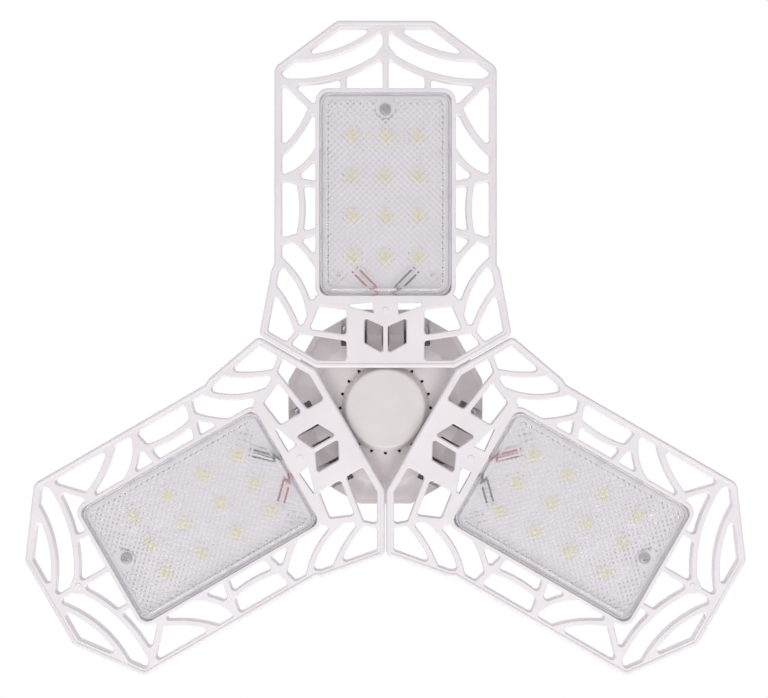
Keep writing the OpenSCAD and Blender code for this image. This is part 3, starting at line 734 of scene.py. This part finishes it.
makeOnPanels("prismLens_", lensParts(lensShape), acrylic, "lens_clear", "lens_", sharpDegrees=12)


print("stage: light boards, chips and screws")

lightBoard = {
    "boardZ": -70.6,            # front of the board
    "chipColumns": 3,
    "chipRows": 4,
    "chipStepX": 14.9,
    "chipStepY": 18.1,
    "chipMid": 95.7,
    "chipSide": 5.0,
    "chipThick": 1.1,
    "chipCorner": 0.5,
    "wellSide": 4.2,
    "wellCorner": 0.9,
    "wellDeep": 0.35,
    "fillSide": 4.0,
    "fillCorner": 0.85,
    "fillLow": 0.3,             # depth of the fill's edge below the chip's face
    "fillRise": 0.28,           # rise of its dome
    "screwY": 135.5,
    "screwRound": 2.7,
    "screwHigh": 1.6,
    "slotHalf": 0.42,           # half of the width and of the length of each slot in the screw, and their depth
    "slotReach": 1.55,
    "slotDeep": 0.95,
    "tabSide": 27.6,
    "tabStep": 19.0,
    "tabSize": (1.8, 3.0),
    "tabFrom": -72.6,
    "tabTo": -70.2,
}


def gridOf(part, columns, rows, stepX, stepY, middle):
    # copies of a part in columns and rows about a place on the panel's middle line
    return [copy for i in range(columns) for j in range(rows) for copy in
            moved([part], x=(i - (columns - 1) / 2) * stepX, y=middle + (j - (rows - 1) / 2) * stepY)]


def chipParts(spec):
    # frame of one chip: a square plate with soft edges around a shallow well
    path, normals = roundRect(spec["chipSide"], spec["chipSide"], spec["chipCorner"], 3)
    inner, innerNormals = roundRect(spec["wellSide"], spec["wellSide"], spec["wellCorner"], 3)
    high = spec["boardZ"]
    low = high - spec["chipThick"]
    outside = softProfile([(0, high), (0, low), (-0.2, low)], [0, 0.12, 0], steps=2, support=0.05)
    rings = carried(path, normals, outside) + carried(inner, innerNormals, [(0, low), (-0.15, low + spec["wellDeep"])])
    return np.vstack(rings), ringFaces(len(rings), len(path))


def phosphorParts(spec):
    # a slightly domed fill for the chip's well: rings shrink as the height falls off with the square of the radius
    path = roundRect(spec["fillSide"], spec["fillSide"], spec["fillCorner"], 3)[0]
    edgeZ = spec["boardZ"] - spec["chipThick"] + spec["fillLow"]
    rings = [np.column_stack([path * share, np.full(len(path), edgeZ - spec["fillRise"] * (1 - share ** 2))])
             for share in (1.0, 0.85, 0.6, 0.3, 0.05)]
    return np.vstack(rings), ringFaces(len(rings), len(path))


def panHead(spec):
    # A pan head on a polar grid: height = dome * sqrt(1 - (r/R)^6), sunk along two crossed slots that taper inwards.
    rings, sides = 26, 96
    share = np.linspace(0.02, 1, rings)[:, None]
    angle = (np.arange(sides) * 2 * pi / sides)[None]
    radius = spec["screwRound"] * np.sin(share * pi / 2)
    x, y = radius * np.cos(angle), radius * np.sin(angle)
    top = spec["screwHigh"] * np.sqrt(np.clip(1 - (radius / spec["screwRound"]) ** 6, 0, 1)) * np.ones_like(angle)

    def slot(along, across):
        width = np.clip((spec["slotHalf"] - np.abs(across)) / 0.14, 0, 1)
        return width * np.clip((spec["slotReach"] - np.abs(along)) / 0.5, 0, 1)

    recess = np.maximum(slot(x, y), slot(y, x))
    z = spec["boardZ"] - top + recess * spec["slotDeep"]
    points = np.stack([x, y + spec["screwY"], z], axis=-1).reshape(-1, 3)
    return points, ringFaces(rings, sides)


chipGrid = [lightBoard[key] for key in ("chipColumns", "chipRows", "chipStepX", "chipStepY", "chipMid")]
snapTab = softSlab(*lightBoard["tabSize"], 0.4, lightBoard["tabFrom"], lightBoard["tabTo"], 0.3, 0.2, 3)
makeOnPanels("chipFrames_", gridOf(chipParts(lightBoard), *chipGrid), chipPlastic, "chip_phosphor", "light_chips_")
makeOnPanels("chipPhosphor_", gridOf(phosphorParts(lightBoard), *chipGrid), phosphor, "chip_phosphor")
makeOnPanels("boardScrew_", [panHead(lightBoard)], zinc, "screw_steel", "board_screw_")
makeOnPanels("lensTabs_", gridOf(snapTab, 2, 3, 2 * lightBoard["tabSide"], lightBoard["tabStep"],
                                 panelFrame["trayMid"]), acrylic, "lens_clear")
for name in panels:
    repaint("light_board_" + name, solderMask)


print("stage: hub housings")

hub = {
    "sides": 12,
    "softness": 260,            # higher gives sharper corners between the facets
    "columns": 480,
    "faceZ": -66.0, "lipZ": -54.0, "seamZ": -50.0, "rimTopZ": -48.0, "chamferZ": -41.0, "shoulderZ": -22.0,
    "faceFlat": 33.5, "lipFlat": 43.0, "rimFlat": 45.5, "chamferFlat": 38.5, "backFlat": 28.0,
    "wall": 2.2,
    # corners (radius, height) of the neck from its foot to the edge of its bore, and how round each is
    "neckFoot": 22.0, "neckLine": [(22.0, -22.0), (18.6, -20.4), (17, -17), (17, -3), (14.3, 0), (9, 0)],
    "neckRounds": [0, 1.6, 3, 0.8, 0.8, 0],
    "boreRound": 14.6, "boreTop": -2.0, "boreEdge": 9.0,
    "pocketX": 20.6, "pocketR": 28.4, "pocketZ": -52.0, "pocketWall": 2.0, "pocketCorner": 2.4,
    "guideX": 8.4, "guideSlotX": 1.7,
    "leadHole": (2.1, 4.5),     # bottom and top of the leads' hole, over the hinge's axis
    "cutR": 70, "cutDown": 6,   # where the pockets' cutters end, past the rim and below the face
    "ventCount": 20, "ventRound": 20.3, "ventWide": 1.3, "ventLong": 2.2, "ventCorner": 0.6,
    "slotCount": 12, "slotWide": 3.0, "slotLong": 11.0, "slotCorner": 1.45, "slotZ": -32.0,
    "slotFrom": 18, "slotTo": 48,       # the slots' cutters reach from inside the wall to outside it
}


def facetShare(spec, start=0.0):
    # Radius of a soft twelve-sided outline for a flat of one: the facets' reach, joined with a high power mean.
    # start moves the columns on by a share of their spacing.
    angle = (np.arange(spec["columns"]) + start) * 2 * pi / spec["columns"]
    facing = np.arange(spec["sides"]) * 2 * pi / spec["sides"]
    reach = np.clip(np.cos(angle[:, None] - facing[None]), 0, None) ** spec["softness"]
    return angle, reach.sum(axis=1) ** (-1 / spec["softness"])


def facetShell(profile, spec, roundness=None, start=0.0):
    # Rings of (flat, height) points: each is the soft outline, blended towards a circle by its roundness.
    angle, share = facetShare(spec, start)
    profile = np.asarray(profile, float)
    roundness = np.zeros((len(profile), 1)) if roundness is None else roundness[:, None]
    radius = profile[:, :1] * (share[None] * (1 - roundness) + roundness)
    grid = np.stack([radius * np.sin(angle), radius * np.cos(angle), profile[:, 1:] * np.ones_like(radius)], axis=-1)
    return grid.reshape(-1, 3), ringFaces(len(profile), spec["columns"])


def lowerForm(spec):
    # closed outside form: from the seam down over the rim, the lip and the cone to the face
    return facetShell(softProfile([
        (2, spec["seamZ"]), (spec["rimFlat"], spec["seamZ"]), (spec["rimFlat"], spec["lipZ"]),
        (spec["lipFlat"], spec["lipZ"]), (spec["faceFlat"], spec["faceZ"]), (2, spec["faceZ"])],
        [0, 0.2, 0.7, 0.7, 1.1, 0], steps=4), spec)


def lowerCavity(spec):
    # hollow of the lower housing, with its columns between those of the outside, which keeps the cut clean
    top, floor = spec["seamZ"] + 1, spec["faceZ"] + spec["wall"]
    return facetShell([(2, top), (spec["rimFlat"] - spec["wall"], top), (spec["faceFlat"] - 0.9, floor), (2, floor)],
                      spec, start=0.5)


def upperHousing(spec):
    # outside from the seam up the chamfer to the shoulder and the neck, then down inside; the neck is round
    shoulder, wall, bore = spec["shoulderZ"], spec["wall"], spec["boreRound"]
    corners = [(spec["rimFlat"] - 1.2, spec["seamZ"]), (spec["rimFlat"], spec["seamZ"]),
               (spec["rimFlat"], spec["rimTopZ"]), (spec["chamferFlat"], spec["chamferZ"]),
               (spec["backFlat"], shoulder), (spec["neckFoot"], shoulder)]
    outside = softProfile(corners, [0, 0.2, 1.0, 1.5, 1.8, 0], steps=4)
    outside = np.vstack([outside, softProfile(spec["neckLine"], spec["neckRounds"], steps=4)[1:]])
    inside = np.array([(spec["boreEdge"], spec["boreTop"]), (bore, spec["boreTop"]), (bore, shoulder - wall),
                       (spec["backFlat"] - wall, shoulder - wall), (spec["chamferFlat"] - wall, spec["chamferZ"]),
                       (spec["rimFlat"] - wall, spec["rimTopZ"]), (spec["rimFlat"] - wall, spec["seamZ"])])
    profile = np.vstack([outside, inside])
    roundness = np.clip((profile[:, 1] - shoulder + 0.01) / 0.02, 0, 1)
    roundness[(np.abs(profile[:, 1] - shoulder) < 0.02) & (profile[:, 0] > spec["neckFoot"] + 0.01)] = 0
    roundness[len(outside):] = [1, 1, 1, 0, 0, 0, 0]
    return facetShell(profile, spec, roundness)[0], loopFaces(len(profile), spec["columns"])


def blockBetween(xFrom, xTo, rFrom, rTo, low, high, corner=0.8, lowEdge=0.0, highEdge=0.5):
    slab = softSlab(xTo - xFrom, rTo - rFrom, corner, low, high, lowEdge, highEdge, 4)
    return moved([slab], x=(xFrom + xTo) / 2, y=(rFrom + rTo) / 2)


def pocketCutter(spec):
    # the room of one hinge: one pocket for each pair of ear and lug, and the slot for the leads between them
    low, high, end = spec["faceZ"] - spec["cutDown"], spec["pocketZ"], spec["cutR"]
    side = blockBetween(spec["guideX"], spec["pocketX"], spec["pocketR"], end, low, high)
    slot = blockBetween(-spec["guideSlotX"], spec["guideSlotX"], spec["pocketR"], end, low, high)
    hole = blockBetween(-spec["guideSlotX"], spec["guideSlotX"], spec["pocketR"] - 4, spec["pocketR"] + 2,
                        *(hinge["z"] + rise for rise in spec["leadHole"]), 0.3, 0.2, 0.2)
    return side, mirrored(side), slot, hole


def ringOf(parts, count):
    # copies of some parts evenly around the axis
    return [part for i in range(count) for part in turnedParts(parts, i * 360 / count)]


ventSlot = moved([softSlab(hub["ventWide"], hub["ventLong"], hub["ventCorner"], hub["faceZ"] - 2, hub["faceZ"] + 5,
                           0, 0, 4)], y=hub["ventRound"])
lowerShell = makePiece("lowerHousing", [lowerForm(hub)], hubPlastic, "hub", "hub_plastic", ["lower_housing"])
cavity = rawPiece("cutter", [lowerCavity(hub)])
wall = hub["pocketWall"]
walls = blockBetween(-hub["pocketX"] - wall, hub["pocketX"] + wall, hub["pocketR"] - wall, hub["cutR"],
                     hub["faceZ"] - hub["cutDown"], hub["seamZ"] + 3, hub["pocketCorner"], 0, 0)
cut(cavity, [rawPiece("cutter", turnedParts(walls, degrees)) for degrees in panels.values()])
rooms = [rawPiece("cutter", turnedParts(parts, degrees))
         for parts in pocketCutter(hub) for degrees in panels.values()]
vents = rawPiece("cutter", ringOf(ventSlot, hub["ventCount"]))
cut(lowerShell, [cavity, vents] + rooms)
lug = hingePlate(hinge["lugIn"], hinge["lugOut"], hinge["lugRound"], hinge["lugRound"] + hinge["lugLean"],
                 hub["pocketZ"] + 1, hinge["screwRound"])
makePiece("hingeLugs", ringOf(bothSides(lug), len(panels)), hubPlastic, "hub", "hub_plastic")
slotPath = softSlab(hub["slotWide"], hub["slotLong"], hub["slotCorner"], hub["slotFrom"], hub["slotTo"], 0, 0, 6)
slotCutter = [(slotPath[0][:, [0, 2, 1]] + [0, 0, hub["slotZ"]], slotPath[1])]
upperShell = makePiece("upperHousing", [upperHousing(hub)], hubPlastic, "hub", "hub_plastic", ["upper_housing"])
cut(upperShell, [rawPiece("cutter", ringOf(slotCutter, hub["slotCount"]))])


print("stage: centre cap")

centreCap = {"round": 17.8, "waist": 19.6, "foot": 20.1, "faceZ": -66.0, "topZ": -70.0, "edge": 1.6, "flutes": 120,
             "fluteDeep": 0.14}


def capParts(spec):
    # A turned cover with a soft edge and a flared foot; fine flutes, a cosine of the angle, run down its side.
    profile = softProfile([(0.01, spec["topZ"]), (spec["round"] - 3, spec["topZ"]), (spec["round"], spec["topZ"]),
                           (spec["waist"], spec["faceZ"] - 0.9), (spec["foot"], spec["faceZ"] - 0.1),
                           (spec["foot"] - 0.3, spec["faceZ"] + 0.6), (16, spec["faceZ"] + 0.6)],
                          [0, 0, spec["edge"], 1.2, 0.1, 0, 0], steps=6)
    steps = spec["flutes"] * 6
    angle = np.arange(steps) * 2 * pi / steps
    height = profile[:, 1]
    strength = np.clip((height - spec["topZ"] - 0.9) / 0.8, 0, 1) * np.clip((spec["faceZ"] + 0.1 - height) / 0.3, 0, 1)
    flutes = spec["fluteDeep"] * strength[:, None] * np.cos(angle * spec["flutes"])[None]
    return lathe(profile, steps, flutes)


makePiece("centreCap", [capParts(centreCap)], capPlastic, "hub", "hub_plastic", ["centre_cap"])


print("stage: screw cap")

screwCap = {
    "skirtHigh": 5.0, "threadHigh": 14.5, "threadMid": 12.6, "threadDeep": 0.62,
    "pitch": 3.629,             # seven threads to the inch
    "fadeLow": 1.6, "fadeHigh": 1.8,
    # (radius, height) from the inside of the skirt up to the thread, and from the thread's end over to the inside
    "skirtLine": [(12.1, 0), (13.15, 0), (13.3, 0.15), (13.3, 4.5), (13.18, 4.85)],
    "topLine": [(12.37, 19.5), (11, 19.48), (10.6, 18.1), (10.6, 3), (11.7, 1)],
    # (radius, height over the thread) of the insulator, and how round its corners are
    "insulatorLine": [(2.0, -0.6), (10.6, -0.6), (10.6, 0.1), (6.4, 3.2), (5.2, 4.5), (2.0, 4.5)],
    "insulatorRounds": [0, 0.1, 0.3, 1.6, 0.4, 0],
    "tipRound": 4.6, "tipHigh": 1.6, "tipEdge": 0.25,
}


def threadParts(spec):
    # Radius = mid + deep * cos(2 pi (height / pitch - turn)), faded out at both ends, on a grid of turn and height.
    low, high = spec["skirtHigh"], spec["skirtHigh"] + spec["threadHigh"]
    rows, sides = 110, 144
    heights = np.linspace(low, high, rows)
    turn = np.arange(sides) / sides
    fade = np.clip((heights - low) / spec["fadeLow"], 0, 1) * np.clip((high - heights) / spec["fadeHigh"], 0, 1)
    wave = np.cos(2 * pi * (heights[:, None] / spec["pitch"] - turn[None]))
    radius = spec["threadMid"] + spec["threadDeep"] * fade[:, None] * wave
    angle = 2 * pi * turn
    side = np.stack([radius * np.cos(angle), radius * np.sin(angle), heights[:, None] * np.ones((1, sides))], axis=-1)
    circle = np.column_stack([np.cos(angle), np.sin(angle)])
    rings = carried(0 * circle, circle, spec["skirtLine"]) + list(side)
    rings += carried(0 * circle, circle, spec["topLine"])
    return np.vstack(rings), loopFaces(len(rings), sides)


capBottom = screwCap["skirtHigh"] + screwCap["threadHigh"]
capTop = capBottom + screwCap["insulatorLine"][-1][1]
insulatorLine = softProfile([(radius, capBottom + high) for radius, high in screwCap["insulatorLine"]],
                            screwCap["insulatorRounds"], steps=5)
# the contact's dome is a quarter of an ellipse over a short upright edge
tipLine = [(1.8, capTop - 3), (1.8, capTop - 0.1), (screwCap["tipRound"], capTop - 0.02)]
tipLine += [(screwCap["tipRound"] * cos(t),
             capTop + screwCap["tipEdge"] + (screwCap["tipHigh"] - screwCap["tipEdge"]) * sin(t))
            for t in np.linspace(0, pi / 2, 12)[:-1]] + [(0.01, capTop + screwCap["tipHigh"])]
makePiece("screwShell", [threadParts(screwCap)], nickel, "hub", "cap_metal", ["screw_shell"])
makePiece("capInsulator", [lathe(insulatorLine, 96)], blackInsulator, "hub", "cap_insulator", ["cap_insulator"])
makePiece("contactTip", [lathe(tipLine, 72)], solder, "hub", "cap_metal", ["contact_tip"])


print("stage: hinge screws and nuts")


def aboutHinge(points, start):
    # a turned shape, laid along the hinge's axis from a place on it
    return np.column_stack([points[:, 2] + start, points[:, 0] + hinge["r"], points[:, 1] + hinge["z"]])


def hingeScrewParts():
    # a pan head with crossed slots outside the ear, and the shank through the ear and the lug
    thick, r, end = hinge["headThick"], hinge["headRound"], -hinge["shankLong"]
    head = softProfile([(0.01, thick), (r * 0.72, thick), (r, thick * 0.42), (r, 0), (1.6, 0), (1.5, end), (0.01, end)],
                       [0, 1.0, 0.5, 0.1, 0, 0.3, 0], steps=4)
    points, faces = lathe(head, 64)
    sides = np.sort(np.abs(points[:, :2]), axis=1)
    sunk = (sides[:, 0] < hinge["slotHalf"]) & (sides[:, 1] < hinge["slotLong"]) & (points[:, 2] > thick * 0.7)
    points[sunk, 2] -= hinge["slotDeep"]
    return aboutHinge(points, hinge["earOut"] + 0.1), faces


def hingeNutParts():
    # Six flats with the corners turned away at both faces: radius = flat / cos(angle to the middle of the flat).
    sides, flat, thick, bore = 96, hinge["nutFlat"], hinge["nutThick"], hinge["screwRound"] + 0.02
    angle = np.arange(sides) * 2 * pi / sides
    fold = np.abs(((angle + pi / 6) % (pi / 3)) - pi / 6)
    profile = [(bore, 0.25), (bore + 0.3, 0), (flat, 0), (flat, 0.35), (flat, thick - 0.35), (flat, thick),
               (bore + 0.3, thick), (bore, thick - 0.25)]
    corners = np.array([0, 0, 0, 1, 1, 0, 0, 0])[:, None] * (flat / np.cos(fold) - flat)
    points = lathe(profile, sides, corners)[0]
    return aboutHinge(points, hinge["lugIn"] - thick), loopFaces(len(profile), sides)


makeOnPanels("hingeScrews_", bothSides(hingeScrewParts()), zinc, "screw_steel", "hinge_screws_", "hub")
makeOnPanels("hingeNuts_", bothSides(hingeNutParts()), zinc, "screw_steel", "hinge_nuts_", "hub")


print("stage: leads")

leads = {
    "round": 0.65,
    "sleeveRound": 0.95,        # shrunk sleeve over the soldered end
    "sleeve": [(13, 62.3, -71.75), (9, 57.9, -71.9), (5.5, 54.3, -71.8)],
    # points of the red lead in mm, from the board to the driver; the black one is its mirror image
    "route": [(12.4, 61.6, -71.5), (9, 57.9, -71.8), (5.4, 54.2, -71.6), (3, 51.6, -70.6), (2.2, 48, -70.1),
              (1.2, 44.6, -70.1), (0.7, 41.4, -69.9), (0.7, 38.4, -68.9), (0.7, 36.4, -66.7), (0.7, 35.6, -63.5),
              (0.7, 35.2, -60.1), (0.7, 34.6, -57.9), (0.7, 33.6, -56.5), (0.7, 31.6, -55.5), (0.7, 29, -55.3),
              (0.8, 25.6, -55.1), (2.6, 23, -53.5), (4.4, 21.4, -50.5), (5, 21, -47.5), (5, 21, -39.6)],
    "bendFrom": (0, 34.6, -56.6),
    "bendTo": (0, 35.4, -60.4),
}


for name, degrees in panels.items():
    for tint, material in (("red", redSilicone), ("black", blackSilicone)):
        wire = [tube(leads["route"], leads["round"]), tube(leads["sleeve"], leads["sleeveRound"])]
        wire = mirrored(wire) if tint == "black" else wire
        piece = makePiece(tint + "Lead_" + name, turnedParts(wire, degrees), material, None, tint + "_insulation",
                          [tint + "_lead_" + name, tint + "_feed_" + name])
        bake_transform(piece)


print("stage: CAD pieces inside the hub")

for node, material in {"driver_board": laminate, "filter_capacitor": sleeve, "rectifier_chips": sleeve, "choke": copper,
                       "live_lead": redSilicone, "neutral_lead": blackSilicone, "housing_screws": zinc}.items():
    repaint(node, material)


print("stage: floor, lights and camera")

studio = {
    "floorZ": -1.25,
    "floorHalf": 10.0,
    "floorTone": "#ECEBEB",
    "worldLight": 0.83,
    "horizonShare": 0.2,        # light from the sides, as a share of the light from above and below
    "horizonTop": 0.6,          # where it reaches the full light, as the sine of the angle above the horizon
    "lights": [
        # place, aim and size in metres, and watts: key from below in front, fill from below, two from above
        ((-0.05, -1.0, -0.85), (0, 0, -0.07), 0.6, 6.5),
        ((0, -0.1, -1.2), (0, 0, -0.07), 2.0, 3.0),
        ((-0.6, -0.9, 0.9), (0, 0, -0.04), 0.8, 3.4),
        ((0.9, 0.5, 0.7), (0, 0, -0.04), 0.8, 3.4),
    ],
}

world = bpy.data.worlds.new("studioWorld")
bpy.context.scene.world = world
world.use_nodes = True
sky = world.node_tree
sky.nodes.clear()
worldOutput = addNode(sky, "OutputWorld")
# light from all round, weaker towards the horizon, so that the rounded edges of pale parts turn a little grey
direction = addNode(sky, "TexCoord").outputs["Generated"]
height = addNode(sky, "SeparateXYZ", links={0: direction}).outputs["Z"]
steepness = addNode(sky, "Math", links={0: height}, operation="ABSOLUTE").outputs[0]
strength = addNode(sky, "MapRange", {
    "From Min": 0.0, "From Max": studio["horizonTop"], "To Min": studio["worldLight"] * studio["horizonShare"],
    "To Max": studio["worldLight"]}, {"Value": steepness}).outputs["Result"]
ambient = addNode(sky, "Background", {"Color": colour("#FBFAFC")}, {"Strength": strength})
# what the camera, a mirror or the lens sees of it is plain white; light that has met a dull surface is left alone
path = addNode(sky, "LightPath").outputs
seen = anyOf(sky, path["Is Camera Ray"], path["Is Glossy Ray"], path["Is Transmission Ray"])
straight = addNode(sky, "Math", {1: 0.5}, {0: path["Diffuse Depth"]}, operation="LESS_THAN").outputs[0]
seen = addNode(sky, "Math", links={0: seen, 1: straight}, operation="MULTIPLY").outputs[0]
white = addNode(sky, "Background", {"Color": (1, 1, 1, 1), "Strength": 1.0})
background = addNode(sky, "MixShader", links={0: seen, 1: ambient.outputs[0], 2: white.outputs[0]})
sky.links.new(background.outputs[0], worldOutput.inputs["Surface"])

half = studio["floorHalf"]
floorMesh = bpy.data.meshes.new("floor")
floorCorners = [(-half, -half), (half, -half), (half, half), (-half, half)]
floorMesh.from_pydata([(x, y, studio["floorZ"]) for x, y in floorCorners], [], [(0, 1, 2, 3)])
floor = bpy.data.objects.new("floor", floorMesh)
bpy.context.scene.collection.objects.link(floor)
floorMaterial, floorTree, floorOutput, _ = startMaterial("Paper_matt_white")
paper = addNode(floorTree, "BsdfPrincipled", {"Base Color": colour(studio["floorTone"]), "Roughness": 0.9})
floorTree.links.new(paper.outputs[0], floorOutput.inputs["Surface"])
floorMesh.materials.append(floorMaterial)

for index, (place, aim, size, watts) in enumerate(studio["lights"]):
    data = bpy.data.lights.new(f"softbox{index}", "AREA")
    data.shape = "SQUARE"
    data.size = size
    data.energy = watts
    light = bpy.data.objects.new(f"softbox{index}", data)
    light.location = place
    light.visible_camera = False
    light.rotation_mode = "QUATERNION"
    light.rotation_quaternion = (Vector(aim) - Vector(place)).to_track_quat("-Z", "Y")
    bpy.context.scene.collection.objects.link(light)

# The camera looks straight up along +Z from below the panels, with +Y up in the picture.
view = {
    "pixelMm": 0.45,            # size of a pixel at the front of the web
    "distance": 520.0,          # from the camera to the front of the web, in mm
    "widthPx": 768,
    "heightPx": 698,
    "axisPx": (385.5, 409.0),   # where the lamp's axis meets the front of the web in the picture
}
cameraData = bpy.data.cameras.new("photoCamera")
cameraData.sensor_width = 36
cameraData.lens = view["distance"] / view["pixelMm"] * cameraData.sensor_width / view["widthPx"]
camera = bpy.data.objects.new("photoCamera", cameraData)
offsetX = (view["axisPx"][0] - view["widthPx"] / 2) * view["pixelMm"]
offsetY = (view["axisPx"][1] - view["heightPx"] / 2) * view["pixelMm"]
camera.location = (offsetX * millimetre, offsetY * millimetre,
                   (panelFrame["frontZ"] - view["distance"]) * millimetre)
camera.rotation_euler = (0, pi, 0)
bpy.context.scene.collection.objects.link(camera)
bpy.context.scene.camera = camera
bpy.context.scene.view_settings.view_transform = "Standard"
